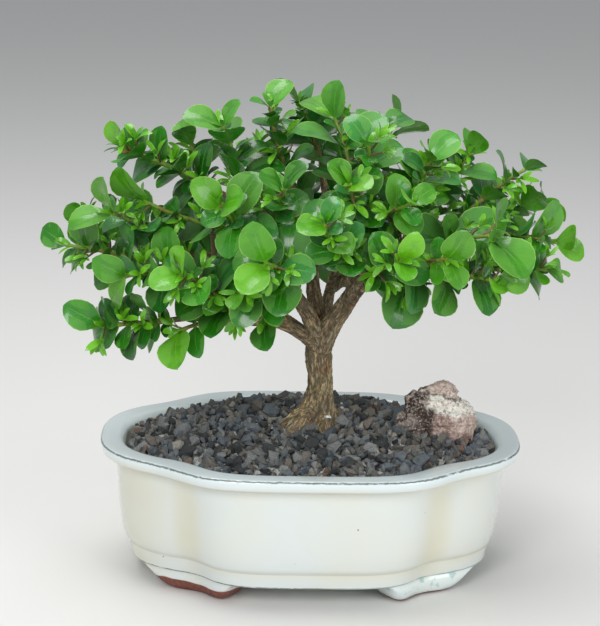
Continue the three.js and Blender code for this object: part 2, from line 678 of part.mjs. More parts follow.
// Leaves stand on the twig in opposite pairs, each pair turned a quarter round from the last.
function growLeaves(spray, owner, leaves, lines) {
  const random = seededRandom(spray.seed);
  const path = twigPath(spray);
  const grown = [];
  const turn = random() * Math.PI;
  for (let pair = 0; pair < spray.pairs; pair += 1) {
    const share = FIRST_PAIR + ((LAST_PAIR - FIRST_PAIR) * pair) / Math.max(spray.pairs - 1, 1);
    const [base, tangent] = onPath(path, share);
    const level = new THREE.Vector3(tangent.y, -tangent.x, 0.001).normalize();
    const over = level.clone().cross(tangent);
    const isLast = pair === spray.pairs - 1;
    const size = isLast ? 0.8 : 1 - 0.1 * (pair / spray.pairs);
    for (const half of [0, 1]) {
      const angle = turn + (Math.PI / 2) * pair + Math.PI * half + (random() - 0.5) * 0.5;
      const spread = (isLast ? 0.75 : 1.2) + (random() - 0.5) * 0.4;
      const length = spray.leaf * size * (1.02 + 0.38 * random());
      const width = length * (0.7 + 0.2 * random());
      const facing = tangent.clone().multiplyScalar(0.45);
      facing.add(base.clone().sub(vector(CROWN_CENTRE)).normalize().multiplyScalar(0.5));
      facing.x += (random() - 0.5) * 0.5;
      facing.y += (random() - 0.5) * 0.5 + (base.y < BACK_LINE ? -0.55 : 0.55);
      facing.z += 0.5;
      for (const [turned, twist, pitch, scale] of LEAF_TRIES) {
        const outward = level.clone().multiplyScalar(Math.cos(angle + turned));
        outward.addScaledVector(over, Math.sin(angle + turned));
        const axis = tangent.clone().multiplyScalar(Math.cos(spread));
        axis.addScaledVector(outward, Math.sin(spread));
        const frame = leafFrame(axis, facing, twist, pitch);
        const root = base.clone().addScaledVector(frame.along, LEAF_ROOT * TWIG_RADIUS);
        const leaf = { owner, base: root, ...frame, length: length * scale, halfWidth: 0 };
        leaf.halfWidth = (width * scale) / 2;
        const rows = bladeRows(leaf);
        if (isClear(leaf, rows, leaves, lines)) {
          leaf.rows = rows;
          leaf.middle = bladePoint(leaf, 0.5, 0);
          grown.push(leaf);
          leaves.push(leaf);
          break;
        }
      }
    }
  }
  return grown;
}

// One blade: a thin arched lens with an ovate outline and a pointed tip.
function blade(leaf) {
  const base = bladePoint(leaf, 0, 0);
  const tip = bladePoint(leaf, 1, 0);
  const left = BLADE_STATIONS.map((share) => bladePoint(leaf, share, -1));
  const right = BLADE_STATIONS.map((share) => bladePoint(leaf, share, 1));
  const half = BLADE_THICKNESS / 2;
  const above = bladePoint(leaf, BLADE_RIB_STATION, 0, half);
  const below = bladePoint(leaf, BLADE_RIB_STATION, 0, -half);
  const points = [base, ...right, tip, ...left.reverse(), above, below];
  const corners = left.length + right.length + 2;
  const triangles = [];
  for (let i = 0; i < corners; i += 1) {
    const next = (i + 1) % corners;
    triangles.push([i, next, corners], [next, i, corners + 1]);
  }
  return solid(surface(points, triangles));
}

// A forked thorn: a short stalk that ends in two spreading points.
function thorn(path, share, angle) {
  const [base, tangent] = onPath(path, share);
  const level = new THREE.Vector3(tangent.y, -tangent.x, 0.001).normalize();
  const over = level.clone().cross(tangent);
  const out = level.clone().multiplyScalar(Math.cos(angle)).addScaledVector(over, Math.sin(angle));
  const fork = base.clone().addScaledVector(out, THORN_STALK);
  const points = [-1, 1].map((side) => fork.clone()
    .addScaledVector(out, THORN_POINT * 0.75)
    .addScaledVector(tangent, side * THORN_POINT * 0.6));
  return points.map((point) => solid(tube([base, fork, point], [0.7, 0.6, 0.12], 3)));
}

function twig(spray) {
  const path = twigPath(spray);
  const radii = path.map((_, i) => TWIG_RADIUS * (1.15 - (0.45 * i) / TWIG_STEPS));
  return tube(path, radii, TWIG_SIDES);
}

// Points along a path for the test of what the leaves meet.
function lineOf(path, radius, owner) {
  const points = [];
  for (let i = 0; i + 1 < path.length; i += 1) {
    const steps = Math.max(1, Math.ceil(path[i].distanceTo(path[i + 1]) / 2.5));
    for (let step = 0; step < steps; step += 1) {
      points.push(path[i].clone().lerp(path[i + 1], step / steps));
    }
  }
  points.push(path[path.length - 1].clone());
  return { points, radius, owner };
}

function growSprays(limbsSwollen) {
  const lines = Object.values(LIMBS).map(({ path, radii }) => lineOf(path.map(vector), radii[0], null));
  lines.push(lineOf(TRUNK.path.map(vector), TRUNK.radii[3], null));
  for (const spray of SPRAYS) lines.push(lineOf(twigPath(spray), TWIG_RADIUS, spray.name));
  const leaves = [];
  return SPRAYS.map((spray) => {
    const grown = growLeaves(spray, spray.name, leaves, lines);
    const solids = [solid(twig(spray)), ...grown.map(blade)];
    if (THORNS[spray.name]) solids.push(...thorn(twigPath(spray), THORNS[spray.name], spray.seed));
    return [spray.name, mainBody(joined(solids).subtract(limbsSwollen))];
  });
}

// Assembly

const COLOURS = {
  glaze: { color: 0xe6e2d2, roughness: 0.22 },
  mesh: { color: 0x2c2d2b, roughness: 0.6 },
  soil: { color: 0x3a2a1e, roughness: 1 },
  gravel: { color: 0x5b504a, roughness: 0.95 },
  rock: { color: 0xb9a08c, roughness: 0.9 },
  bark: { color: 0x7a6a52, roughness: 0.9 },
  leaf: { color: 0x4f7a3a, roughness: 0.4 },
};

function piece(name, manifold, finish) {
  const material = new THREE.MeshStandardMaterial({ ...COLOURS[finish], metalness: 0 });
  const mesh = new THREE.Mesh(geometryOf(manifold), material);
  mesh.name = name;
  return mesh;
}

const tree = new THREE.Group();
const trunkSolid = trunk();
const trunkHollow = trunk(GAP + 0.1);
const rockHollow = rock(GAP + 0.1);
const screenHollows = [-1, 1].map((side) => drainScreen(side, GAP));
tree.add(piece('pot', pot(), 'glaze'));
tree.add(piece('drain_screen_left', drainScreen(-1), 'mesh'));
tree.add(piece('drain_screen_right', drainScreen(1), 'mesh'));
tree.add(piece('soil', soil([trunkHollow, rockHollow, ...screenHollows]), 'soil'));
tree.add(piece('gravel', gravel([trunkHollow, rockHollow]), 'gravel'));
tree.add(piece('rock', rock(), 'rock'));
tree.add(piece('trunk', trunkSolid, 'bark'));
for (const [name, spray] of growSprays(trunkHollow)) tree.add(piece(name, spray, 'leaf'));

export default tree;
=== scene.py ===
import math

import bmesh
import bpy
import numpy as np
from mathutils import Matrix, Quaternion, Vector, noise


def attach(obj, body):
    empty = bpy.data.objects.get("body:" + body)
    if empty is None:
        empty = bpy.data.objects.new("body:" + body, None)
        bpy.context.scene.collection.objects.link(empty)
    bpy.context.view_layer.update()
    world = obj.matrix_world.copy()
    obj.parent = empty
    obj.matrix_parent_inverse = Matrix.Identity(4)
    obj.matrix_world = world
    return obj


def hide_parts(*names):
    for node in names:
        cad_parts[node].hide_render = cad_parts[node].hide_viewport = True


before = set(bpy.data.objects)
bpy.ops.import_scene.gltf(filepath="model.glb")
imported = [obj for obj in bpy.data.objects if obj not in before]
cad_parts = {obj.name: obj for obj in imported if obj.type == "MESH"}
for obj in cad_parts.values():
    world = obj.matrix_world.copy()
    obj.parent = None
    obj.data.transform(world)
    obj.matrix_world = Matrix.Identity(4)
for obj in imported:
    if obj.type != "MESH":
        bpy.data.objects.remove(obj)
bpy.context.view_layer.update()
MM = 0.001


# Pot
# Stoneware thrown in a mould: four rounded lobes, a flat rim over a swelling wall, and a band above the feet.
# The wall is one face extruded from row to row of a profile, and each row follows the lobed outline.
POT_LENGTH = 203
POT_DEPTH = 146
POT_HEIGHT = 68
END_LOBE_WIDTH, END_LOBE_ROUNDNESS = 120, 2.7
FRONT_LOBE_WIDTH, FRONT_LOBE_ROUNDNESS = 140, 4
LOBE_BLEND = 13
POT_SIDES = 240
RIM_INSET = 12
POT_BASE = 10
FLOOR_TOP = 17

# Height, inset from the rim's outline, and how far each corner of the profile is rounded off.
POT_PROFILE = [
    (POT_BASE, 21, 0),
    (POT_BASE, 14.7, 0.7),
    (16.7, 13.7, 0.7),
    (17.4, 13.6, 0.5),
    (19.6, 11.8, 1.6),
    (25, 10.3, 3),
    (34, 9.2, 5),
    (61.3, 7.7, 1.6),
    (62.2, 1.3, 1.0),
    (66.7, 0, 0.9),
    (POT_HEIGHT, 1.1, 0.7),
    (POT_HEIGHT, 9.6, 1.6),
    (65.4, 12.2, 1.6),
    (30, 15.5, 6),
    (FLOOR_TOP, 21, 3),
]


def superellipse(angle, half_length, half_width, roundness):
    x = np.abs(np.cos(angle) / half_length) ** roundness
    y = np.abs(np.sin(angle) / half_width) ** roundness
    return (x + y) ** (-1 / roundness)


def pot_radius(angle, inset):
    """Distance from the pot's axis to its lobed outline, drawn in by an inset."""
    end = superellipse(angle, POT_LENGTH / 2 - inset, END_LOBE_WIDTH / 2 - inset, END_LOBE_ROUNDNESS)
    front = superellipse(angle, FRONT_LOBE_WIDTH / 2 - inset, POT_DEPTH / 2 - inset, FRONT_LOBE_ROUNDNESS)
    blend = LOBE_BLEND - inset / 3
    share = np.clip(0.5 + 0.5 * (end - front) / blend, 0, 1)
    return front * (1 - share) + end * share + blend * share * (1 - share)


def pot_ring(inset, z, sides=POT_SIDES):
    angle = 2 * np.pi * np.arange(sides) / sides
    radius = pot_radius(angle, inset)
    return np.column_stack([radius * np.cos(angle), radius * np.sin(angle), np.full(sides, z)]) * MM


def rounded(profile):
    """The profile's rows with each corner replaced by a small curve."""
    rows = []
    for index, (height, inset, rounding) in enumerate(profile):
        here = np.array([height, inset], float)
        if rounding == 0 or index in (0, len(profile) - 1):
            rows.append(here)
            continue
        before = np.array(profile[index - 1][:2], float) - here
        after = np.array(profile[index + 1][:2], float) - here
        start = here + before * min(rounding / np.linalg.norm(before), 0.5)
        end = here + after * min(rounding / np.linalg.norm(after), 0.5)
        for t in (0, 0.25, 0.5, 0.75, 1):
            rows.append((1 - t) ** 2 * start + 2 * t * (1 - t) * here + t * t * end)
    return rows


def only(piece):
    bpy.ops.object.select_all(action="DESELECT")
    piece.select_set(True)
    bpy.context.view_layer.objects.active = piece


def extrude_rings(name, rings, travel=None):
    """A closed skin over rings of points: one face is extruded from each ring to the next.
    Travel is the distance along the piece at each ring, which its material reads."""
    count = len(rings[0])
    bpy.ops.object.select_all(action="DESELECT")
    bpy.ops.mesh.primitive_circle_add(vertices=count, fill_type="NGON")
    piece = bpy.context.active_object
    piece.name = piece.data.name = name
    piece.data.attributes.new("corner", "INT", "POINT").data.foreach_set("value", list(range(count)))
    piece.data.attributes.new("travel", "FLOAT", "POINT")
    bpy.ops.object.mode_set(mode="EDIT")
    bpy.ops.mesh.select_mode(type="FACE")
    bpy.ops.mesh.select_all(action="SELECT")
    for row, ring in enumerate(rings):
        if row:
            bpy.ops.mesh.extrude_region_move()
        mesh = bmesh.from_edit_mesh(piece.data)
        corner = mesh.verts.layers.int["corner"]
        distance = mesh.verts.layers.float["travel"]
        for vertex in mesh.verts:
            if vertex.select:
                vertex.co = ring[vertex[corner]]
                vertex[distance] = travel[row] if travel else 0
        bmesh.update_edit_mesh(piece.data)
    bpy.ops.mesh.select_all(action="SELECT")
    bpy.ops.mesh.normals_make_consistent(inside=False)
    bpy.ops.object.mode_set(mode="OBJECT")
    return piece


def travelled(rows):
    """Distance walked along a list of points, at each point."""
    steps = [float(np.linalg.norm(np.subtract(b, a))) for a, b in zip(rows, rows[1:])]
    return [0.0] + list(np.cumsum(steps))


def apply_modifier(piece, kind, **settings):
    only(piece)
    modifier = piece.modifiers.new(kind.title(), kind)
    for setting, value in settings.items():
        setattr(modifier, setting, value)
    bpy.ops.object.modifier_apply(modifier=modifier.name)


def mesh_piece(name, points, faces=()):
    """A piece from its points, in metres, and its faces."""
    mesh = bpy.data.meshes.new(name)
    mesh.from_pydata(points, [], faces)
    piece = bpy.data.objects.new(name, mesh)
    bpy.context.scene.collection.objects.link(piece)
    return piece


def joined(name, pieces):
    only(pieces[0])
    for piece in pieces[1:]:
        piece.select_set(True)
    if len(pieces) > 1:
        bpy.ops.object.join()
    pieces[0].name = pieces[0].data.name = name
    return pieces[0]


def dress(piece, materials, node, angle=40):
    """Gives a finished piece its materials, smooth shading and place in the frame."""
    if not piece.data.materials:
        for material in materials:
            piece.data.materials.append(material)
    only(piece)
    if angle:
        bpy.ops.object.shade_smooth_by_angle(angle=math.radians(angle), keep_sharp_edges=False)
    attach(piece, "root")
    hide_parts(node)


class Socket:
    """A node's output, on which Python's operators make Math nodes."""

    def __init__(self, tree, output):
        self.tree = tree
        self.output = output

    def maths(self, operation, other=0):
        return self.tree.node("ShaderNodeMath", {"operation": operation}, {0: self, 1: other})

    def __add__(self, other):
        return self.maths("ADD", other)

    def __radd__(self, other):
        return self.maths("ADD", other)

    def __sub__(self, other):
        return self.maths("SUBTRACT", other)

    def __rsub__(self, other):
        return self.tree.node("ShaderNodeMath", {"operation": "SUBTRACT"}, {0: other, 1: self})

    def __mul__(self, other):
        return self.maths("MULTIPLY", other)

    def __rmul__(self, other):
        return self.maths("MULTIPLY", other)

    def __pow__(self, other):
        return self.maths("POWER", other)

    def __abs__(self):
        return self.maths("ABSOLUTE")

    def high(self, other):
        return self.maths("MAXIMUM", other)

    def step(self, start, end):
        """0 below start, 1 above end, and a smooth slope between them."""
        ramp = {"interpolation_type": "SMOOTHSTEP"}
        return self.tree.node("ShaderNodeMapRange", ramp, {"Value": self, "From Min": start, "From Max": end})


class Finish:
    """A material under construction: one method makes any node and links its sockets."""

    def __init__(self, name, **shader):
        self.material = bpy.data.materials.new(name)
        self.material.use_nodes = True
        self.nodes = self.material.node_tree.nodes
        self.shader = self.nodes["Principled BSDF"]
        self.set(**shader)

    def node(self, kind, settings=None, sockets=None, output=0):
        made = self.nodes.new(kind)
        for setting, value in (settings or {}).items():
            setattr(made, setting, value)
        for socket, value in (sockets or {}).items():
            self.feed(made.inputs[socket], value)
        return Socket(self, made.outputs[output])

    def feed(self, socket, value):
        if isinstance(value, Socket):
            self.material.node_tree.links.new(value.output, socket)
        else:
            socket.default_value = value

    def set(self, **shader):
        for socket, value in shader.items():
            self.feed(self.shader.inputs[socket.replace("_", " ")], value)

    def parts(self, vector):
        return [self.node("ShaderNodeSeparateXYZ", {}, {0: vector}, axis) for axis in "XYZ"]

    def place(self):
        """Object coordinates, and their three parts."""
        whole = self.node("ShaderNodeTexCoord", output="Object")
        return whole, self.parts(whole)

    def scaled(self, vector, scale):
        return self.node("ShaderNodeVectorMath", {"operation": "MULTIPLY"}, {0: vector, 1: scale})

    def noise(self, vector, scale, detail=3, roughness=0.5):
        sockets = {"Vector": vector, "Scale": scale, "Detail": detail, "Roughness": roughness}
        return self.node("ShaderNodeTexNoise", {}, sockets, "Fac")

    def cells(self, vector, scale):
        """Distance to the nearest of the seeds of a cell pattern."""
        return self.node("ShaderNodeTexVoronoi", {}, {"Vector": vector, "Scale": scale}, "Distance")

    def value(self, attribute):
        return self.node("ShaderNodeAttribute", {"attribute_name": attribute}, {}, "Fac")

    def vector(self, attribute):
        return self.node("ShaderNodeAttribute", {"attribute_name": attribute}, {}, "Vector")

    def mix(self, share, first, second):
        """A colour between two colours."""
        made = self.nodes.new("ShaderNodeMix")
        made.data_type = "RGBA"
        for index, value in ((0, share), (6, first), (7, second)):
            self.feed(made.inputs[index], value)
        return Socket(self, made.outputs[2])

    def bump(self, height, distance, strength=1.0):
        sockets = {"Height": height, "Distance": distance, "Strength": strength}
        self.set(Normal=self.node("ShaderNodeBump", {}, sockets, "Normal"))


def rgb(red, green, blue):
    """A colour as a paint chart gives it, from 0 to 255, in the linear values that a shader takes."""
    shares = [channel / 255 for channel in (red, green, blue)]
    linear = [((share + 0.055) / 1.055) ** 2.4 if share > 0.04 else share / 12.92 for share in shares]
    return (*linear, 1)


profile_rows = rounded(POT_PROFILE)
wall_travel = travelled(profile_rows)
pot = extrude_rings("pot_wall", [pot_ring(inset, z) for z, inset in profile_rows], wall_travel)

# Feet: a scrolled plate under each hollow corner, with a round belly that tucks in at the sole.
FOOT_ANGLE = 37
FOOT_SPREAD = 19
FOOT_STEPS = 56

# How far down the lower edge comes, at shares of the foot's length from either end.
FOOT_SCROLL = [
    (0, 0.02), (0.03, 0.16), (0.06, 0.36), (0.1, 0.62), (0.14, 0.8), (0.2, 0.94), (0.28, 1), (0.5, 1),
]

# Inset from the rim's outline, and height.
FOOT_SECTION = [
    (17, POT_BASE + 2.4), (15.6, POT_BASE), (14.9, 9.1), (14.6, 7.4), (14.7, 5.4), (15.3, 3.4), (16.3, 1.6),
    (17.6, 0.4), (19.2, 0), (26.6, 0), (28, 0.8), (29.2, 3), (30.2, POT_BASE + 1.6),
]

# The glaze reads travel along the wall. A foot's travel lies below all of it, so that no line falls there.
FOOT_TRAVEL = -10.0


def foot(centre_angle):
    """The lower edge rises in a scroll towards both ends, and what lies under it is pressed up to it."""
    stations, shares = zip(*FOOT_SCROLL)
    rings = []
    for step in range(FOOT_STEPS + 1):
        t = step / FOOT_STEPS
        share = float(np.interp(min(t, 1 - t), stations, shares))
        angle = math.radians(centre_angle + (2 * t - 1) * FOOT_SPREAD)
        ring = []
        for inset, z in FOOT_SECTION:
            height = POT_BASE - (POT_BASE - z) * share if z < POT_BASE else z
            radius = pot_radius(angle, inset)
            ring.append((radius * math.cos(angle) * MM, radius * math.sin(angle) * MM, height * MM))
        rings.append(ring)
    return extrude_rings("pot_foot", rings, [FOOT_TRAVEL] * len(rings))


feet = [foot(angle) for angle in (FOOT_ANGLE, 180 - FOOT_ANGLE, 180 + FOOT_ANGLE, -FOOT_ANGLE)]

# The two drain holes are punched through the floor while the clay is soft.
DRAIN_RADIUS = 8
DRAIN_SPACING = 76
PUNCH_DEPTH = 30
for side in (-1, 1):
    place = (side * DRAIN_SPACING / 2 * MM, 0, POT_BASE * MM)
    bpy.ops.object.select_all(action="DESELECT")
    size = {"radius": DRAIN_RADIUS * MM, "depth": PUNCH_DEPTH * MM}
    bpy.ops.mesh.primitive_cylinder_add(vertices=48, location=place, **size)
    punch = bpy.context.active_object
    apply_modifier(pot, "BOOLEAN", operation="DIFFERENCE", object=punch, solver="EXACT")
    bpy.data.objects.remove(punch)
pot = joined("pot_glazed", [pot, *feet])


def travel_at(height):
    """Travel where the outside of the wall first rises past a height."""
    return next(travel for travel, (z, _) in zip(wall_travel, profile_rows) if z > height)


ARRIS_TRAVEL = travel_at(67.2)
BASE_EDGE_TRAVEL = travel_at(POT_BASE + 0.3)
LIP_TRAVEL = travel_at(61.5)
BAND_TRAVEL = travel_at(17.2)

# Where the glaze changes, in metres: the hollows between the lobes, the left end, which is yellowed and partly
# painted darker as shade, the bluish rim and feet, and the bare clay of the soles, which is deepest at the
# left.
HOLLOW, HOLLOW_REACH = (0.0585, 0.047), (0.002, 0.013)
SHADED_LEFT_END = (-0.055, -0.085)
RIM_START = (0.0625, 0.0655)
FOOT_TOP = (0.0085, 0.0125)
SOLE_RIGHT, SOLE_RISE = 0.0016, 0.0042


def glaze():
    """Cream glaze, pooled a little yellow in the hollows and broken to a dark line on the sharp edges."""
    finish = Finish("cream_glaze", Coat_Weight=0.5, Coat_Roughness=0.06, IOR=1.5)
    place, (x, y, z) = finish.place()
    travel = finish.value("travel")
    cloud = finish.noise(place, 22, 3)
    fine = finish.noise(place, 420, 2)
    broken = finish.noise(place, 160, 4, 0.7)
    cream = finish.mix(cloud.step(0.35, 0.7), rgb(214, 221, 220), rgb(216, 219, 211))
    pool_and_shade = (1 - abs(travel - LIP_TRAVEL).step(1, 9)) * 0.4
    pool_and_shade = pool_and_shade.high((1 - abs(travel - BAND_TRAVEL).step(0.3, 4)) * 0.6)
    # Partly painted shade: the left end is painted darker and yellower, part cream glaze and part shade.
    pool_and_shade = pool_and_shade.high(x.step(*SHADED_LEFT_END) * 0.8)
    hollow = ((abs(x) - HOLLOW[0]) ** 2 + (abs(y) - HOLLOW[1]) ** 2) ** 0.5
    pool_and_shade = pool_and_shade.high(1 - hollow.step(*HOLLOW_REACH))
    colour = finish.mix(pool_and_shade * (0.4 + cloud * 0.6), cream, rgb(214, 211, 188))
    colour = finish.mix(z.step(*RIM_START) * 0.8, colour, rgb(220, 233, 236))
    arris = (1 - abs(travel - ARRIS_TRAVEL + (fine - 0.5) * 1.1).step(0.15, 0.7)) * broken.step(0.26, 0.44)
    base = (1 - abs(travel - BASE_EDGE_TRAVEL + (fine - 0.5) * 0.6).step(0.15, 0.6)) * broken.step(0.28, 0.45)
    colour = finish.mix((arris * 0.85).high(base * 0.8), colour, rgb(76, 82, 74))
    pinhole = 1 - finish.cells(place, 75).step(0.025, 0.045)
    colour = finish.mix(pinhole * broken.step(0.5, 0.6), colour, rgb(80, 78, 66))
    foot_blue = (1 - z.step(*FOOT_TOP)) * x.step(0, 0.02)
    colour = finish.mix(foot_blue * 0.6, colour, rgb(222, 236, 236))
    stain = finish.noise(place, 130, 3, 0.6).step(0.58, 0.66) * foot_blue
    colour = finish.mix(stain * 0.55, colour, rgb(128, 178, 178))
    edge = SOLE_RIGHT + x.step(0.02, -0.03) * SOLE_RISE + (finish.noise(place, 60, 2) - 0.5) * 0.004
    bare = 1 - (z - edge).step(-0.0003, 0.0003)
    clay = finish.mix(fine.step(0.3, 0.7), rgb(108, 60, 50), rgb(134, 80, 66))
    finish.set(Base_Color=finish.mix(bare, colour, clay))
    finish.set(Roughness=0.16 + bare * 0.6 + (fine - 0.5) * 0.05, Coat_Weight=0.5 - bare * 0.5)
    finish.bump(cloud * 0.6 + fine * (0.02 + bare * 0.2), 0.0012, 0.35)
    return finish.material


dress(pot, [glaze()], "pot")


# Drain screens
# Squares of black plastic mesh that keep the soil in. They lie loose on the floor over the holes.
def screen_plastic():
    finish = Finish("black_plastic", Roughness=0.6)
    place, _ = finish.place()
    grain = finish.noise(place, 900, 2)
    finish.set(Base_Color=finish.mix(grain, rgb(26, 27, 26), rgb(44, 45, 43)), Roughness=0.5 + grain * 0.2)
    finish.bump(grain, 0.0002, 0.4)
    return finish.material


def repaint(names, material):
    for name in names:
        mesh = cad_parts[name].data
        mesh.materials.clear()
        mesh.materials.append(material)


repaint(["drain_screen_left", "drain_screen_right"], screen_plastic())


# Soil
# Dark potting mix that fills the pot under the gravel. It shows only through the drain screens.
def potting_mix():
    finish = Finish("potting_mix", Roughness=0.95)
    place, _ = finish.place()
    crumb = finish.cells(place, 450)
    tone = finish.noise(place, 180, 4)
    dark = finish.mix(tone, rgb(34, 25, 18), rgb(72, 54, 38))
    finish.set(Base_Color=finish.mix(crumb.step(0.1, 0.7), dark, rgb(20, 15, 11)))
    finish.bump(crumb + tone, 0.001, 0.8)
    return finish.material


repaint(["soil"], potting_mix())


# Trunk
# One piece of living wood: a flared foot, a slim waist, surface roots and the woody limbs.
# Each is a ridged tube. They are melted together, and the bark's flakes are then raised along them.
TRUNK_PATH = [
    (3, 6, 48), (2, 5, 64), (2, 4, 74), (3, 3, 81), (4, 2, 89), (4, 1, 97), (3, 1, 107), (3, 1, 116),
]
TRUNK_RADII = [8, 11.5, 10.3, 8.2, 6.2, 5.5, 6.2, 5.5]
WAIST = 3

# Each root as points and the radius at each. The last three are buried.
ROOTS = [
    ([(3, 2, 82), (-5, -4, 74), (-13, -12, 67), (-20, -20, 52)], [5.4, 4.8, 3.6, 1.8]),
    ([(2, 3, 80), (-8, 0, 74), (-18, -3, 67), (-29, -6, 52)], [5, 4.2, 2.8, 1.6]),
    ([(5, 2, 80), (7, -6, 72), (10, -15, 64), (12, -25, 48)], [4.6, 3.8, 2.6, 1.6]),
    ([(6, 4, 76), (14, 1, 67), (25, -4, 59), (36, -8, 49)], [5, 4, 2.8, 1.6]),
    ([(6, 8, 78), (13, 14, 71), (22, 25, 63), (28, 33, 48)], [5, 4, 2.6, 1.5]),
    ([(4, 8, 78), (-4, 15, 72), (-14, 24, 63), (-22, 32, 48)], [5, 4, 2.8, 1.6]),
    ([(6, 6, 60), (0, -8, 50), (-6, -22, 36)], [5, 2.8, 1.2]),
    ([(6, 6, 60), (20, 8, 46), (40, 10, 32)], [5, 2.8, 1.2]),
    ([(6, 6, 60), (-10, 8, 48), (-34, 8, 33)], [5, 2.8, 1.2]),
]

# Each limb as points, and its radius at its start and end.
LIMBS = {
    "low_left": (
        [(2, 0, 112), (-6, -3, 119), (-15, -6, 124), (-30, -12, 127), (-47, -18, 129), (-58, -22, 131)],
        (3.3, 1.3),
    ),
    "back_left": (
        [(2, 3, 112), (-7, 7, 119), (-17, 12, 125), (-28, 18, 133), (-38, 23, 140), (-48, 26, 149)],
        (3, 1.3),
    ),
    "left": (
        [(3, 0, 112), (-1, -3, 125), (-7, -7, 136), (-14, -11, 147), (-22, -12, 160), (-31, -9, 172),
         (-40, -4, 184)],
        (4.2, 1.3),
    ),
    "left_out": ([(-13, -11, 145), (-30, -9, 150), (-52, -8, 153), (-74, -9, 152)], (2.2, 1.2)),
    "front_left": ([(-6, -6, 134), (-9, -19, 143), (-13, -33, 150)], (2.2, 1.3)),
    "middle": (
        [(3, 3, 112), (2, 7, 126), (0, 9, 138), (-1, 10, 152), (-5, 8, 168), (-9, 5, 184)],
        (4.5, 1.4),
    ),
    "back_top": ([(-1, 10, 150), (2, 22, 162), (5, 33, 175), (5, 40, 190)], (2.4, 1.3)),
    "right": ([(4, 0, 112), (9, -2, 124), (14, -4, 132), (19, -5, 140), (26, -5, 148)], (5, 3.3)),
    "right_up": ([(18, -5, 139), (18, -7, 151), (16, -7, 161), (18, -7, 173), (21, -6, 186)], (3.1, 1.3)),
    "right_out": ([(25, -5, 147), (34, -2, 154), (45, 2, 158), (59, 3, 163), (70, 4, 168)], (2.7, 1.3)),
    "right_low": ([(24, -5, 146), (33, -10, 151), (42, -14, 153), (56, -17, 151)], (2.2, 1.2)),
    "front_right": ([(16, -5, 136), (20, -18, 148), (23, -31, 156)], (2.2, 1.3)),
    "back": ([(4, 3, 112), (6, 14, 123), (9, 28, 134), (13, 40, 146), (17, 48, 159)], (3.6, 1.4)),
    "back_right": ([(9, 27, 133), (24, 38, 141), (40, 45, 150), (54, 49, 158)], (2.3, 1.3)),
}
BARK_STEP = 1.3
BARK_VOXEL = 0.58
TRUNK_SIDES, LIMB_SIDES = 40, 28
GRAIN_BLEND = 0.7


def smooth_path(points, radii, step):
    """A soft curve through the points, with its radius at each step."""
    points = np.array(points, float)
    lengths = np.array(travelled(list(points)))
    count = max(4, int(lengths[-1] / step))
    at = np.linspace(0, lengths[-1], count)
    slopes = np.gradient(points, lengths, axis=0)
    places = []
    for distance in at:
        start = min(int(np.searchsorted(lengths, distance, side="right")) - 1, len(points) - 2)
        end = start + 1
        span = lengths[end] - lengths[start]
        t = (distance - lengths[start]) / span
        from_points = (2 * t**3 - 3 * t**2 + 1) * points[start] + (3 * t**2 - 2 * t**3) * points[end]
        from_slopes = (t**3 - 2 * t**2 + t) * slopes[start] + (t**3 - t**2) * slopes[end]
        places.append(from_points + span * from_slopes)
    return np.array(places), np.interp(at, lengths, radii)


def frames_along(places):
    """A direction, an across and an over for each place, turned as little as the path allows."""
    directions = np.gradient(places, axis=0)
    directions /= np.linalg.norm(directions, axis=1)[:, None]
    across = np.array([1.0, 0, 0]) if abs(directions[0][0]) < 0.9 else np.array([0, 1.0, 0])
    frames = []
    for direction in directions:
        across = across - direction * across.dot(direction)
        across = across / np.linalg.norm(across)
        frames.append((direction, across, np.cross(direction, across)))
    return frames


def tube_rings(places, radii, sides, ridge=None):
    angles = 2 * np.pi * np.arange(sides) / sides
    rings = []
    for index, (_, across, over) in enumerate(frames_along(places)):
        reach = radii[index] * (ridge(angles, index) if ridge else np.ones(sides))
        ring = np.outer(reach * np.cos(angles), across) + np.outer(reach * np.sin(angles), over)
        rings.append((places[index] + ring) * MM)
    return rings


def trunk_ridge(angles, index):
    """Deep flutes that run up from the roots and turn slowly round the trunk."""
    turn = 0.035 * index
    return 1 + 0.07 * np.cos(3 * angles + turn) + 0.045 * np.cos(7 * angles - 2 * turn)


def limb_ridge(angles, index):
    """Shallow flutes for limbs and roots."""
    return 1 + 0.06 * np.cos(2 * angles + 0.07 * index) + 0.04 * np.cos(5 * angles - 0.05 * index)


growth = [(TRUNK_PATH, TRUNK_RADII, TRUNK_SIDES, trunk_ridge)]
growth += [(points, radii, LIMB_SIDES, limb_ridge) for points, radii in ROOTS]
for points, (first, last) in LIMBS.values():
    growth.append((points, np.linspace(first, last, len(points)), LIMB_SIDES, limb_ridge))
wood = []
grain_lines = []
for points, radii, sides, ridge in growth:
    line, sizes = smooth_path(points, radii, BARK_STEP)
    wood.append(extrude_rings("wood", tube_rings(line, sizes, sides, ridge)))
    grain_lines.append((line, sizes))
trunk = joined("trunk_bark", wood)
apply_modifier(trunk, "REMESH", mode="VOXEL", voxel_size=BARK_VOXEL * MM)
apply_modifier(trunk, "SMOOTH", factor=0.5, iterations=2)


def swelled(piece, lift_of):
    """Moves each vertex out along its normal. From all the places, lift_of gives the lifts in millimetres."""
    vertices = piece.data.vertices
    normals = np.array([vertex.normal[:] for vertex in vertices])
    places = np.array([vertex.co[:] for vertex in vertices])
    vertices.foreach_set("co", (places + normals * lift_of(places / MM)[:, None] * MM).ravel())
    piece.data.update()


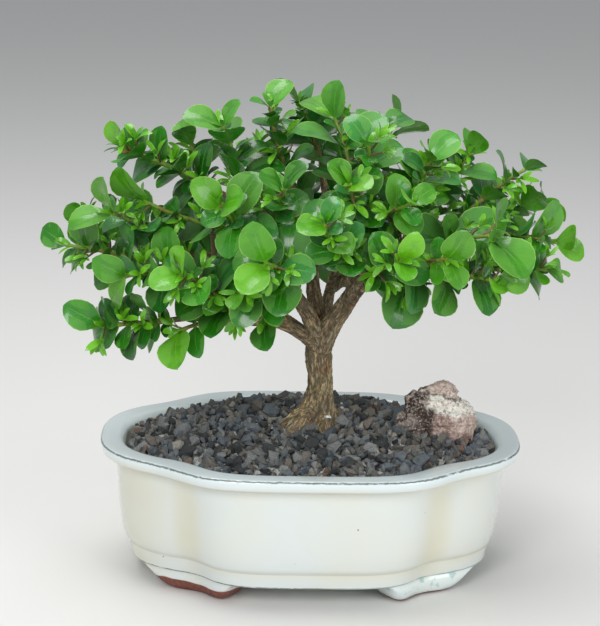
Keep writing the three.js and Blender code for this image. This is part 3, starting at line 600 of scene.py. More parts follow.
def along_grain(places):
    """Places across and along the nearest limb, blended where limbs meet, and that limb's radius."""
    weights, spots, radii = [], [], []
    for line, sizes in grain_lines:
        frames = frames_along(line)
        near = np.full(len(places), np.inf)
        index = np.zeros(len(places), int)
        for number, centre in enumerate(line):
            gap = np.linalg.norm(places - centre, axis=1) - sizes[number]
            closer = gap < near
            near[closer], index[closer] = gap[closer], number
        directions, across, over = [np.array(column)[index] for column in zip(*frames)]
        away = places - line[index]
        spot = np.column_stack([(away * aim).sum(axis=1) for aim in (across, over, directions)])
        spot[:, 2] += np.array(travelled(list(line)))[index]
        weights.append(near)
        spots.append(spot + line[0])
        radii.append(sizes[index])
    weights = np.exp(-(np.array(weights) - np.min(weights, axis=0)) / GRAIN_BLEND)
    weights = weights / weights.sum(axis=0)
    return (weights[..., None] * np.array(spots)).sum(axis=0), (weights * np.array(radii)).sum(axis=0)


def raise_bark(piece):
    """Lifts flakes and ridges that run along each limb, and keeps the grain's places for the material."""
    grain = []

    def lift_of(places):
        spots, sizes = along_grain(places)
        grain.append(spots * MM)
        lifts = []
        for (across, over, along), size in zip(spots, sizes):
            turn = Vector((across, over, along * 0.24))
            ridge = 1 - abs(noise.noise(turn * 0.6)) * 2.4
            flake = 1 - abs(noise.noise(turn * 1.15)) * 2.6
            lifts.append((0.42 * ridge + 0.3 * flake - 0.25) * min(size / 6, 1) + 0.1 * flake)
        return np.array(lifts)

    swelled(piece, lift_of)
    piece.data.attributes.new("grain", "FLOAT_VECTOR", "POINT").data.foreach_set("vector", grain[0].ravel())


raise_bark(trunk)


def bark():
    """Fibrous grey-brown bark, tan where a flake is fresh, dark in its crevices and greenish at its foot."""
    finish = Finish("bark", Roughness=0.88)
    place, (x, y, z) = finish.place()
    grain = finish.scaled(finish.vector("grain"), (1, 1, 0.26))
    flake = finish.noise(grain, 620, 5, 0.68)
    fibre = abs(finish.noise(grain, 480, 4, 0.6) - 0.5) * 2
    ridge = abs(finish.noise(grain, 230, 3, 0.55) - 0.5) * 2
    patch = finish.noise(place, 95, 3)
    tone = finish.mix(flake.step(0.34, 0.62), rgb(122, 106, 82), rgb(190, 168, 130))
    tone = finish.mix(patch.step(0.5, 0.62) * flake.step(0.44, 0.58), tone, rgb(222, 194, 142))
    tone = finish.mix(finish.noise(place, 260, 3).step(0.56, 0.66) * 0.6, tone, rgb(176, 170, 150))
    moss = finish.noise(place, 170, 4).step(0.5, 0.62) * (1 - z.step(0.095, 0.13))
    tone = finish.mix(moss * 0.4, tone, rgb(122, 124, 74))
    tone = finish.mix(finish.noise(place, 85, 3).step(0.54, 0.66) * 0.4, tone, rgb(150, 98, 66))
    groove = (1 - fibre.step(0.02, 0.17)).high((1 - ridge.step(0.01, 0.09)) * 0.9)
    finish.set(Base_Color=finish.mix(groove * 0.72, tone, rgb(58, 47, 36)))
    finish.bump(flake * 0.6 + fibre.step(0, 0.3) * 0.6 + ridge.step(0, 0.2) * 0.4, 0.001, 0.9)
    return finish.material


dress(trunk, [bark()], "trunk", 70)


# Gravel
# Broken lava, 3 to 9 mm, in four loose layers over a bed of fines, heaped a little round the trunk.
# A dozen stones are each hulled from a few seeded corners, and a seeded scatter strews copies of them.
GROUND_EDGE = 64
GROUND_RISE = 9.5
GROUND_STEEPNESS = 4
GROUND_TILT = 5
BED_DEPTH, BED_TOP_DEPTH = 7.6, 3.2
BED_INSET = RIM_INSET + 2.4
BED_SIDES = 96
STONE_KINDS = 12
STONE_CORNERS = 13
STONE_SPREAD = 0.28
STONE_DROP = 0.6
THROWS = 26000

# The layers from the bottom up: the stones' spacing, half size and height over the ground, and a seed.
STONE_LAYERS = [(4.9, 3, -3.8, 3), (4.8, 3.3, -1.5, 7), (4.2, 2, 0.1, 11), (9, 4.2, -0.4, 19)]

# One small white pebble lies at the trunk's foot.
PEBBLE_PLACE, PEBBLE_SIZE, PEBBLE_KIND = (8, -13.5, 81), 1.8, 5
PEBBLE_TINT = (1, 1, 1, 1)

# No stone is dropped on the trunk's foot or where the rock is bedded.
TRUNK_FOOT, TRUNK_CLEARANCE = (6, 4), 8.5
ROCK_PLACE, ROCK_BED = (61, 2, 64), (15, 9)


def ground_height(x, y):
    """The gravel's surface: level at the rim, heaped in the middle and a little higher at the back."""
    share = np.hypot(x, y) / pot_radius(np.arctan2(y, x), RIM_INSET)
    rise = 1 - np.minimum(share, 1) ** GROUND_STEEPNESS
    return GROUND_EDGE + GROUND_RISE * rise + GROUND_TILT * rise * y / (POT_DEPTH / 2)


def ground_ring(share, depth):
    angle = 2 * np.pi * np.arange(BED_SIDES) / BED_SIDES
    radius = share * pot_radius(angle, BED_INSET)
    x, y = radius * np.cos(angle), radius * np.sin(angle)
    return np.column_stack([x, y, ground_height(x, y) - depth]) * MM


bed_shares = [1, 0.9, 0.76, 0.6, 0.42, 0.2]
bed_rings = [ground_ring(share, BED_DEPTH) for share in reversed(bed_shares)]
bed_rings += [ground_ring(share, BED_TOP_DEPTH) for share in bed_shares]
bed = extrude_rings("gravel_bed", bed_rings)


def hull(piece):
    """Wraps a piece's points in flat faces, as paper would."""
    only(piece)
    bpy.ops.object.mode_set(mode="EDIT")
    bpy.ops.mesh.select_all(action="SELECT")
    bpy.ops.mesh.convex_hull()
    bpy.ops.object.mode_set(mode="OBJECT")


def chipped_stone(seed):
    """A broken stone: the hull of a few corners, so that its faces are flat and its edges sharp."""
    draw = np.random.default_rng(seed)
    corners = draw.normal(size=(STONE_CORNERS, 3))
    corners /= np.linalg.norm(corners, axis=1)[:, None]
    corners *= draw.uniform(0.86, 1.14, (STONE_CORNERS, 1))
    corners *= draw.uniform((0.95, 0.75, 0.55), (1.3, 1.0, 0.85))
    piece = mesh_piece("stone", corners.tolist())
    hull(piece)
    points = np.array([vertex.co[:] for vertex in piece.data.vertices])
    faces = [tuple(face.vertices) for face in piece.data.polygons]
    bpy.data.objects.remove(piece)
    return points, faces


def random_turn(draw):
    """A turn with no favoured direction, from a random unit quaternion."""
    return np.array(Quaternion(draw.normal(size=4)).normalized().to_matrix())


def strewn_spots(spacing, seed, inset):
    """Places in the pot, no two nearer than the spacing. Each is tested against the cells round its own."""
    draw = np.random.default_rng(seed)
    spots = []
    cells = {}
    corner = np.array([POT_LENGTH, POT_DEPTH]) / 2
    for x, y in draw.uniform(-corner, corner, (THROWS, 2)):
        if math.hypot(x, y) > pot_radius(math.atan2(y, x), inset):
            continue
        column, row = int(x // spacing), int(y // spacing)
        around = [(column + i, row + j) for i in (-1, 0, 1) for j in (-1, 0, 1)]
        near = [spot for cell in around for spot in cells.get(cell, [])]
        if any((x - other[0]) ** 2 + (y - other[1]) ** 2 < spacing**2 for other in near):
            continue
        cells.setdefault((column, row), []).append((x, y))
        spots.append((x, y))
    return spots, draw


class Heap:
    """Many small shells gathered in one mesh."""

    def __init__(self):
        self.points, self.faces, self.count = [], [], 0

    def add(self, points, faces):
        self.points.append(points * MM)
        self.faces += [tuple(corner + self.count for corner in face) for face in faces]
        self.count += len(points)

    def piece(self, name, attribute, colours):
        """The finished piece, with a colour at each point that its material reads."""
        made = mesh_piece(name, np.vstack(self.points).tolist(), self.faces)
        layer = made.data.attributes.new(attribute, "FLOAT_COLOR", "POINT")
        layer.data.foreach_set("color", np.array(colours, np.float32).ravel())
        return made


def strew_gravel():
    kinds = [chipped_stone(seed) for seed in range(STONE_KINDS)]
    heap = Heap()
    tints = []
    for spacing, size, height, seed in STONE_LAYERS:
        spots, draw = strewn_spots(spacing, seed, RIM_INSET + size * 1.05)
        for x, y in spots:
            scale = size * draw.uniform(1 - STONE_SPREAD, 1 + STONE_SPREAD)
            turn = random_turn(draw)
            tint = draw.uniform(0, 1, 3)
            points, faces = kinds[int(draw.integers(STONE_KINDS))]
            drop = draw.uniform(-STONE_DROP, STONE_DROP)
            in_rock = abs(x - ROCK_PLACE[0]) < ROCK_BED[0] and abs(y - ROCK_PLACE[1]) < ROCK_BED[1]
            if in_rock or math.dist((x, y), TRUNK_FOOT) < TRUNK_CLEARANCE:
                continue
            heap.add((points * scale) @ turn.T + (x, y, ground_height(x, y) + height + drop), faces)
            tints += [(*tint, 1)] * len(points)
    points, faces = kinds[PEBBLE_KIND]
    heap.add(points * PEBBLE_SIZE + PEBBLE_PLACE, faces)
    tints += [PEBBLE_TINT] * len(points)
    return heap.piece("gravel_stones", "stone", tints)


gravel = joined("gravel_lava", [strew_gravel(), bed])


def lava():
    """Porous lava: mostly mid grey, some blue-grey or brown, and here and there a rusty or a pale stone."""
    finish = Finish("lava", Roughness=0.9)
    place, _ = finish.place()
    kind, tone, dust = finish.parts(finish.vector("stone"))
    colour = finish.mix(tone.step(0.1, 0.95), rgb(60, 63, 64), rgb(142, 144, 142))
    colour = finish.mix(kind.step(0.5, 0.54) * 0.75, colour, rgb(104, 114, 123))
    colour = finish.mix(kind.step(0.7, 0.74) * 0.7, colour, rgb(126, 114, 100))
    colour = finish.mix(kind.step(0.94, 0.945) * 0.65, colour, rgb(134, 102, 84))
    colour = finish.mix(kind.step(0.965, 0.97) * 0.7, colour, rgb(172, 172, 164))
    colour = finish.mix(kind.step(0.994, 0.996), colour, rgb(236, 238, 236))
    pores = finish.cells(place, 1300)
    rough = finish.noise(place, 650, 4, 0.7)
    colour = finish.mix(rough.step(0.35, 0.75) * 0.3, colour, rgb(48, 47, 47))
    colour = finish.mix((1 - pores.step(0.1, 0.4)) * 0.5, colour, rgb(32, 31, 31))
    colour = finish.mix(dust.step(0.4, 1) * rough.step(0.52, 0.7) * 0.35, colour, rgb(160, 158, 150))
    finish.set(Base_Color=colour)
    finish.bump(pores * 0.6 + rough, 0.0007, 0.8)
    return finish.material


dress(gravel, [lava()], "gravel", 0)


# Rock
# One broken stone: a pinkish block with a white crust, a wedge of grey chips at its left and a slab on top.
# Each part is hulled from its corners, and they are melted together, stepped and pitted.
ROCK_VOXEL = 0.45

# Corners from the rock's place, for a hidden core, the block, the wedge and five smaller lumps.
ROCK_PARTS = [
    [
        (-15, -8, 0), (14, -11, 0), (14, 8, 0), (-12, 8, 0), (-16, -5, 17), (-12, -8, 22), (-8, 5, 24),
        (-5, -9.5, 23.5), (3, -9, 25), (12, -3, 23), (13, 5, 18), (6, 8, 26), (-6, -11, 14), (-1, -7, 27),
    ],
    [
        (-5, -12, 0), (6, -15, 0), (12, -13.5, 0), (18, -6, 0), (17, 8, 0), (2, 12, 0), (-1, -13, 6),
        (5, -16, 5), (12, -14, 7), (17.5, -8, 9), (19.5, -2, 14), (-2.5, -13.5, 16.5), (6, -16, 17),
        (15, -11.5, 17.5), (-7, -10, 22.5), (3, -9.5, 24), (10, -5, 24.5), (17, 1, 19), (15, 6, 20),
        (4, 10, 21), (-4, 8, 21),
    ],
    [
        (-19, -7, 0), (-5, -12, 0), (2, 0, 0), (-13, 9, 0), (-20, -6.5, 14), (-17, -9, 14.5), (-12, -11, 13),
        (-6.5, -11.5, 10), (-16, -5, 20.5), (-15, -8.5, 19), (-10, -9, 20.5), (-5, -9, 19), (-12, 5, 18),
    ],
    [
        (-17, -5, 19.5), (-16.5, -3, 23.5), (-9.5, -8, 27.5), (-12, 0, 26.5), (-9, -9.5, 21), (-4, 2, 24),
        (-10, 5, 22),
    ],
    [
        (-10, -9, 24.5), (-10, -8, 28), (4.5, 0, 31), (11.5, 0, 25.5), (6, -9.5, 24.5), (1.5, -11.5, 23.8),
        (-6, -11.5, 24.5), (-8, 6, 26), (6, 9, 29), (10, 7, 24), (0, 5, 20), (8, -7, 26.5),
    ],
    [(-16, -9.5, 16.5), (-15.5, -9, 20.5), (-9, -11, 21), (-11, -12.5, 18), (-14, -11, 15.5), (-10, -6, 16)],
    [(-21.5, -5, 13.5), (-17, -5, 19), (-15.5, -7.5, 17), (-19, -8.5, 12.5), (-16, -3, 13)],
    [(-18, -8.5, 11), (-16, -8.5, 14), (-11, -12, 13.5), (-12, -12.5, 9.5), (-12, -6, 11)],
]


def rock_part(corners):
    piece = mesh_piece("rock_part", ((np.array(corners) + ROCK_PLACE) * MM).tolist())
    hull(piece)
    return piece


rock = joined("accent_rock", [rock_part(corners) for corners in ROCK_PARTS])
apply_modifier(rock, "REMESH", mode="VOXEL", voxel_size=ROCK_VOXEL * MM)
apply_modifier(rock, "SMOOTH", factor=0.5, iterations=1)
SLAB_FOOT = 87


def rock_relief(places):
    """Broken faces, steps and pits all over. The slab on top keeps its broad face."""
    lifts = []
    for place in places:
        spot = Vector(place)
        face = (noise.noise(spot * 0.17) * 1.3 - 0.2) * (0.35 if place[2] > SLAB_FOOT else 1)
        step = noise.cell(Vector((spot.x * 0.2, spot.y * 0.2, spot.z * 0.34))) - 0.5
        lifts.append(face + noise.noise(spot * 0.5) * 0.6 + noise.noise(spot * 1.3) * 0.3 + step * 0.4)
    return np.array(lifts)


swelled(rock, rock_relief)


# Where the stone changes, in metres: the slab's sloping foot, and the lower edge of the crust and the left edge
# of the block, both of which wander.
SLAB_LINE = 0.1015
CRUST_START = (0.0795, 0.082)
BLOCK_LEFT = (0.0535, 0.0565)


def rock_stone():
    """Granular pinkish stone with a white crust on the block, and dark brown painted shade in its clefts and
    cracks.
    """
    finish = Finish("accent_stone", Roughness=0.88)
    place, (x, y, z) = finish.place()
    grain = finish.noise(place, 900, 3, 0.7)
    broad = finish.noise(place, 110, 4, 0.62)
    speck = finish.noise(place, 330, 4, 0.7)
    tone = finish.mix(broad.step(0.38, 0.62), rgb(158, 130, 120), rgb(200, 178, 166))
    wander = (broad - 0.5) * 0.02
    slope = z * 0.97 + x * 0.24 + wander * 0.4 - SLAB_LINE
    slab = slope.step(0.0003, 0.0013)
    crust = (z + wander).step(*CRUST_START) * (1 - slab) * speck.step(0.36, 0.5)
    tone = finish.mix(crust * 0.9, tone, rgb(238, 236, 226))
    slab_tone = finish.mix(speck.step(0.4, 0.6), rgb(192, 166, 154), rgb(216, 198, 188))
    tone = finish.mix(slab * 0.8, tone, slab_tone)
    left = 1 - (x + wander * 0.5 + (0.086 - z) * 0.25).step(*BLOCK_LEFT)
    chips = finish.mix(broad.step(0.4, 0.6), rgb(122, 110, 102), rgb(164, 150, 140))
    tone = finish.mix(left * (1 - slab * (x.step(0.0495, 0.0515))), tone, chips)
    # Painted shade: dark brown in the cracks of the left wedge, on the face under the block's left edge, and in
    # the crack under the slab.
    cleft = finish.noise(finish.scaled(place, (1, 1, 1.4)), 95, 2, 0.5)
    dark = (1 - abs(cleft - 0.5).step(0.05, 0.07)) * left
    under = (1 - (x - (z - 0.07) * 0.1).step(0.0565, 0.0595)) * (x - (0.086 - z) * 0.3).step(0.046, 0.05)
    dark = dark.high(under * (1 - z.step(0.083, 0.086)) * broad.step(0.3, 0.36))
    dark = dark.high((1 - abs(slope).step(0.0002, 0.0009)) * 0.8)
    tone = finish.mix(dark, tone, finish.mix(speck, rgb(40, 28, 25), rgb(88, 68, 56)))
    tone = finish.mix(speck.step(0.56, 0.64) * (0.7 - left * 0.4), tone, rgb(92, 72, 62))
    tone = finish.mix(grain.step(0.5, 0.36) * 0.4, tone, rgb(244, 238, 228))
    tone = finish.mix(grain.step(0.55, 0.75) * 0.3, tone, rgb(84, 68, 60))
    finish.set(Base_Color=tone)
    finish.bump(grain * 0.5 + broad + speck, 0.0012, 0.8)
    return finish.material


dress(rock, [rock_stone()], "rock", 60)


# Leafy sprays
# Each young shoot is a green twig with thick waxy leaves in opposite pairs, a quarter turn from pair to pair.
# A leaf is one arched, cupped blade on a short stalk. It turns aside from the leaves and wood it would meet.

# Each shoot's name, its limb, its share of the way along it, its tip, its lift in the middle, its pairs of
# leaves and their length.
SPRAYS = [
    ("left_tip", "left_out", 1, (-117, -14, 163), 3, 4, 17),
    ("low_left", "low_left", 1, (-99, -34, 130), -2, 4, 18),
    ("low_hang", "low_left", 0.8, (-63, -34, 128), 1, 2, 22),
    ("mid_left", "left_out", 0.5, (-88, -38, 154), 4, 4, 18),
    ("left_light", "left_out", 0.65, (-94, -26, 181), 5, 3, 20),
    ("upper_left", "left", 1, (-92, -6, 208), 2, 5, 17),
    ("upper_left_in", "left", 0.8, (-80, -24, 187), -4, 2, 26),
    ("left_back", "left_out", 0.8, (-112, 34, 162), 6, 4, 17),
    ("front_left", "low_left", 0.6, (-62, -56, 160), 4, 4, 18),
    ("branch", "low_left", 0.3, (-44, -42, 145), 3, 3, 14),
    ("front_trio", "front_left", 1, (-24, -67, 168), 3, 3, 20),
    ("front_low", "front_left", 0.6, (-36, -52, 151), 4, 3, 15),
    ("centre_left", "left", 0.62, (-44, -48, 190), -3, 4, 20),
    ("centre_high", "left", 0.75, (-16, -46, 198), -4, 4, 16),
    ("centre_front", "front_right", 1, (2, -64, 186), -3, 4, 16),
    ("centre", "right_up", 0.6, (14, -44, 200), -5, 4, 16),
    ("centre_low", "front_right", 0.55, (37, -61, 169), 3, 3, 16),
    ("centre_right", "right_up", 0.75, (42, -46, 192), -3, 4, 16),
    ("top_left", "left", 0.95, (-44, -8, 219), 2, 4, 18),
    ("top", "middle", 1, (-22, 2, 227), 2, 4, 16),
    ("top_back", "back_top", 1, (-8, 32, 224), 2, 4, 17),
    ("top_right", "right_up", 0.85, (8, 2, 222), 3, 3, 24),
    ("crest_right", "right_up", 1, (31, 8, 217), 3, 4, 18),
    ("upper_front", "right_up", 0.92, (22, -34, 216), 2, 3, 16),
    ("upper_right", "right_out", 0.4, (52, -12, 206), 2, 4, 17),
    ("shoulder", "right_out", 0.6, (73, 8, 206), 3, 4, 16),
    ("back_crest", "back_left", 1, (-60, 30, 204), 2, 4, 17),
    ("right_high", "right_out", 0.78, (100, 10, 198), 4, 4, 15),
    ("right_back", "right_out", 0.86, (110, 28, 178), 3, 4, 16),
    ("right_disc", "right_out", 0.68, (78, -40, 176), 3, 2, 26),
    ("right_tip", "right_out", 1, (114, -6, 166), 3, 4, 18),
    ("right_low", "right_low", 1, (108, -24, 157), 4, 4, 16),
    ("right_front", "right_low", 0.55, (58, -54, 168), 3, 3, 17),
    ("right_hang", "right_low", 0.6, (46, -30, 147), -2, 2, 22),
    ("right_droop", "right_low", 0.82, (82, -46, 156), 3, 3, 18),
    ("back_middle", "back", 1, (14, 65, 174), 2, 3, 20),
    ("back_low_left", "back", 0.8, (-14, 64, 152), 3, 3, 20),
    ("back_right_tip", "back_right", 1, (88, 62, 166), 3, 3, 20),
    ("back_right", "back_right", 0.75, (48, 65, 178), 3, 3, 20),
    ("back_left_tip", "back_left", 0.85, (-82, 54, 158), 3, 3, 21),
    ("back_left", "back_left", 0.75, (-44, 66, 156), 3, 3, 20),
    ("back_top_right", "back_top", 0.6, (38, 50, 206), 3, 3, 20),
    ("back_top_left", "back_top", 0.45, (-32, 56, 196), 3, 3, 20),
    ("back_shoulder", "back_right", 0.5, (60, 36, 194), 2, 4, 18),
    ("back_low_right", "back", 0.55, (38, 64, 140), 4, 3, 18),
    ("back_high", "back_top", 0.8, (4, 66, 206), 2, 3, 18),
]
FIRST_PAIR, LAST_PAIR = 0.3, 0.97
TWIG_RADIUS, TWIG_SIDES = 1.25, 10
TWIG_SWAY = 5
LEAF_ROOT = 0.2
BLADE_STATIONS = [0, 0.12, 0.45, 0.8, 1]
BLADE_HALF_WIDTHS = [0, 0.16, 1, 0.84, 0]
BLADE_BOW, BLADE_CUP = 0.1, 0.2
CROWN_CENTRE = np.array([0.0, 0.0, 150.0])
BACK_LINE = 20
LEAF_MARGIN, WOOD_MARGIN = 1.6, 1.1
LINE_STEP = 2.5

# Turn round the twig, twist, pitch and scale that a leaf tries until it is clear of its neighbours.
LEAF_TRIES = [
    (0, 0, 0, 1), (0, 0.4, 0, 1), (0, -0.4, 0, 1), (0.4, 0, 0.2, 1), (-0.4, 0, 0.2, 1), (0, 0, -0.35, 1),
    (0, 0, 0.45, 1), (0.7, 0.3, 0, 1), (-0.7, -0.3, 0, 1), (0.4, 0, -0.5, 0.9), (-0.4, 0, -0.5, 0.9),
    (0, 0.8, 0.3, 0.85), (0, -0.8, 0.3, 0.85), (0.9, 0, 0.5, 0.8), (-0.9, 0, 0.5, 0.8), (0, 0, 0.8, 0.75),
    (0.5, 0.5, -0.3, 0.65), (-0.5, -0.5, -0.3, 0.65), (0, 0, 0.5, 0.6), (1.2, 0, 0, 0.6), (-1.2, 0, 0, 0.6),
]

# Turn and scale that a small leaf tries.
SMALL_TRIES = [(0, 1), (0.5, 0.9), (-0.5, 0.9), (1, 0.8), (-1, 0.8), (0, 0.6)]
FILL_MARGIN = 0.3
YOUNG = 0.95

# Small leaves' lengths, and their widths as shares of the length: in an axil, in the tip's tuft and in a star.
# Those between the pairs take their length from the shoot's own leaves.
AXIL_LENGTHS, AXIL_WIDTHS = (5.5, 11), (0.26, 0.42)
TUFT_LEAVES, TUFT_LENGTHS, TUFT_WIDTHS = 9, (6, 12), (0.22, 0.36)
STAR_LENGTHS, STAR_WIDTHS = (6, 10), (0.26, 0.38)
BETWEEN_SHARES, BETWEEN_WIDTHS = (0.5, 0.86), (0.6, 0.82)

# Side shoots: where they may stand, their lengths, and the rays of their stars. They stay inside the crown.
SIDE_SHARES, SIDE_LENGTHS, SIDE_RADIUS = (0.3, 0.92), (5, 8), 0.55
STAR_RAYS, STAR_TURN, STAR_LEAST = 7, 2.4, 4
CROWN_MIDDLE = np.array([0, 1, 160])
CROWN_HALF = np.array([127, 82, 79])


class Seeded:
    """Seeded draws between 0 and 1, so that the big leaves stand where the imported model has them."""

    WORD, STRIDE = 0xFFFFFFFF, 0x6D2B79F5

    def __init__(self, seed):
        self.state = seed

    def draw(self):
        self.state = (self.state + self.STRIDE) & self.WORD
        mixed = ((self.state ^ (self.state >> 15)) * (self.state | 1)) & self.WORD
        mixed ^= (mixed + ((mixed ^ (mixed >> 7)) * (mixed | 61) & self.WORD)) & self.WORD
        return (mixed ^ (mixed >> 14)) / (self.WORD + 1)


def unit(vector):
    return vector / math.sqrt(vector.dot(vector))


def on_path(path, share):
    """Place and direction at a share of the path's straight stretches."""
    reach = share * (len(path) - 1)
    index = min(int(reach), len(path) - 2)
    place = path[index] + (path[index + 1] - path[index]) * (reach - index)
    return place, unit(path[index + 1] - path[index])


def square_to(tangent, angle):
    """The direction square to a twig at an angle round it."""
    level = unit(np.array([tangent[1], -tangent[0], 0.001]))
    return level * math.cos(angle) + np.cross(level, tangent) * math.sin(angle)


def twig_path(spray, steps=3):
    """The twig's centre line: a bow from its limb to its tip, swayed a little to one side."""
    limb, at, tip, lift, seed = spray["limb"], spray["at"], spray["tip"], spray["lift"], spray["seed"]
    start, _ = on_path(np.array(LIMBS[limb][0], float), at)
    sway = TWIG_SWAY * np.array([math.sin(2.4 * seed), math.cos(2.4 * seed), 0])
    middle = (start + tip) / 2 + sway + (0, 0, lift)
    shares = [step / steps for step in range(steps + 1)]
    return np.array([(1 - t) ** 2 * start + 2 * t * (1 - t) * middle + t * t * tip for t in shares])


def blade_rise(leaf, share, side):
    """Height over the line from stalk to tip: bowed along the midrib, with the edges raised."""
    outline = np.interp(share, BLADE_STATIONS, BLADE_HALF_WIDTHS)
    cup = BLADE_CUP * leaf["half_width"] * side * side * outline
    return leaf["length"] * BLADE_BOW * 4 * share * (1 - share) + cup


def blade_point(leaf, share, side, outline=None):
    """A point of the blade's middle surface, for one share and side or for arrays of them."""
    share, side = np.asarray(share, float), np.asarray(side, float)
    if outline is None:
        outline = np.interp(share, BLADE_STATIONS, BLADE_HALF_WIDTHS)
    along = np.multiply.outer(leaf["length"] * share, leaf["along"])
    across = np.multiply.outer(leaf["half_width"] * outline * side, leaf["across"])
    return leaf["base"] + along + across + np.multiply.outer(blade_rise(leaf, share, side), leaf["face"])


def leaf_frame(axis, facing, twist, pitch):
    """Directions of a leaf from its axis and the way that its face looks, turned by a twist and a pitch."""
    along = unit(axis)
    face = unit(facing - along * facing.dot(along))
    across = np.cross(along, face)
    pitched = along * math.cos(pitch) + face * math.sin(pitch)
    face = face * math.cos(pitch) - along * math.sin(pitch)
    turned = face * math.cos(twist) + across * math.sin(twist)
    across = across * math.cos(twist) - face * math.sin(twist)
    return {"along": pitched, "across": across, "face": turned}


TEST_LENGTHWISE = [0.14, 0.32, 0.5, 0.68, 0.86, 0.99]
TEST_SIDES, TEST_SHARES = np.meshgrid([-1, -0.5, 0, 0.5, 1], TEST_LENGTHWISE, indexing="ij")


def blade_rows(leaf):
    """Rows of points along and across the blade, for the test of what it meets."""
    grid = blade_point(leaf, TEST_SHARES, TEST_SIDES)
    cross = np.concatenate([grid, grid[-1:]]).transpose(1, 0, 2)
    return np.concatenate([grid, cross])


def leaf_at(spray, place, angle, spread, facing, turn, length, width):
    """A leaf on a twig at a place, with its middle and the rows that its neighbours are tested against."""
    base, tangent = place
    axis = tangent * math.cos(spread) + square_to(tangent, angle) * math.sin(spread)
    leaf = leaf_frame(axis, facing, *turn)
    leaf["base"] = base + leaf["along"] * (LEAF_ROOT * TWIG_RADIUS)
    leaf["owner"], leaf["length"], leaf["half_width"] = spray["name"], length, width / 2
    leaf["middle"] = tuple(blade_point(leaf, 0.5, 0).tolist())
    leaf["rows"] = blade_rows(leaf)
    return leaf


def rows_meet(rows, leaf, margin):
    """Whether a row of points comes near the blade or passes through it."""
    offset = rows - leaf["base"]
    share = offset @ leaf["along"] / leaf["length"]
    width = np.abs(offset @ leaf["across"])
    outline = np.interp(np.clip(share, 0.1, 0.9), BLADE_STATIONS, BLADE_HALF_WIDTHS)
    slack = margin / leaf["length"]
    inside = (share > -slack) & (share < 1 + slack) & (width < outline * leaf["half_width"] + margin)
    side = np.minimum(width / leaf["half_width"], 1)
    height = offset @ leaf["face"] - blade_rise(leaf, np.clip(share, 0, 1), side)
    if (inside & (np.abs(height) < margin)).any():
        return True
    both = inside[..., 1:] & inside[..., :-1]
    return bool((both & (height[..., 1:] * height[..., :-1] < 0)).any())


def line_of(path, radius, owner):
    """Points along a twig or limb, for the test of what the leaves meet."""
    points = []
    for start, end in zip(path, path[1:]):
        steps = max(1, math.ceil(np.linalg.norm(end - start) / LINE_STEP))
        points += [start + (end - start) * (step / steps) for step in range(steps)]
    points.append(path[-1])
    points = np.array(points)
    centre = points.mean(axis=0)
    reach = np.linalg.norm(points - centre, axis=1).max()
    wood = {"points": points, "radius": radius, "owner": owner}
    return wood | {"centre": tuple(centre.tolist()), "reach": reach}


def is_near(one, two, reach):
    """Whether two places lie within reach. It runs for every two leaves, so the quick tests come first."""
    if abs(one[0] - two[0]) > reach or abs(one[1] - two[1]) > reach or abs(one[2] - two[2]) > reach:
        return False
    return math.dist(one, two) < reach


def is_clear(leaf, leaves, lines, leaf_margin=FILL_MARGIN, wood_margin=FILL_MARGIN):
    """Whether a leaf keeps its margins from the leaves so far and from the wood of other shoots."""
    middle = leaf["middle"]
    for other in leaves:
        if is_near(other["middle"], middle, (other["length"] + leaf["length"]) * 0.6 + leaf_margin):
            if rows_meet(leaf["rows"], other, leaf_margin) or rows_meet(other["rows"], leaf, leaf_margin):
                return False
    for line in lines:
        limit = leaf["length"] + line["radius"] + 6
        if line["owner"] == leaf["owner"] or not is_near(line["centre"], middle, limit + line["reach"]):
            continue
        close = line["points"][np.linalg.norm(line["points"] - middle, axis=1) < limit]
        if len(close) and rows_meet(close, leaf, line["radius"] + wood_margin):
            return False
    return True


def grow_leaves(spray, leaves, lines):
    """Opposite pairs of leaves up the twig, each pair a quarter turn round from the last."""
    random = Seeded(spray["seed"])
    path = twig_path(spray)
    pairs = spray["pairs"]
    turn = random.draw() * math.pi
    for pair in range(pairs):
        share = FIRST_PAIR + (LAST_PAIR - FIRST_PAIR) * pair / max(pairs - 1, 1)
        base, tangent = place = on_path(path, share)
        is_last = pair == pairs - 1
        size = 0.8 if is_last else 1 - 0.1 * (pair / pairs)
        for half in (0, 1):
            angle = turn + math.pi / 2 * pair + math.pi * half + (random.draw() - 0.5) * 0.5
            spread = (0.75 if is_last else 1.2) + (random.draw() - 0.5) * 0.4
            length = spray["leaf"] * size * (1.02 + 0.38 * random.draw())
            width = length * (0.7 + 0.2 * random.draw())
            facing = tangent * 0.45 + unit(base - CROWN_CENTRE) * 0.5
            facing[0] += (random.draw() - 0.5) * 0.5
            facing[1] += (random.draw() - 0.5) * 0.5 + (-0.55 if base[1] < BACK_LINE else 0.55)
            facing[2] += 0.5
            for turned, twist, pitch, scale in LEAF_TRIES:
                way = (twist, pitch)
                sizes = (length * scale, width * scale)
                leaf = leaf_at(spray, place, angle + turned, spread, facing, way, *sizes)
                if is_clear(leaf, leaves, lines, LEAF_MARGIN, WOOD_MARGIN):
                    leaf["youth"] = 0.55 * (pair / max(pairs - 1, 1)) ** 2
                    leaves.append(leaf)
                    break


def small_leaves(spray, path, share, angle, spread, length, narrow, draw, youth):
    """The ways that one leaf may stand which the solids leave out, between, beside or beyond the pairs."""
    base, tangent = place = on_path(path, share)
    facing = tangent * 0.6 + unit(base - CROWN_CENTRE) * 0.5 + draw.uniform(-0.3, 0.3, 3)
    facing = facing + (0, -0.4 if base[1] < BACK_LINE else 0.4, 0.4)
    for turned, scale in SMALL_TRIES:
        way = (draw.uniform(-0.3, 0.3), draw.uniform(-0.2, 0.3))
        size = length * scale
        leaf = leaf_at(spray, place, angle + turned, spread, facing, way, size, size * narrow)
        leaf["youth"] = youth
        yield leaf


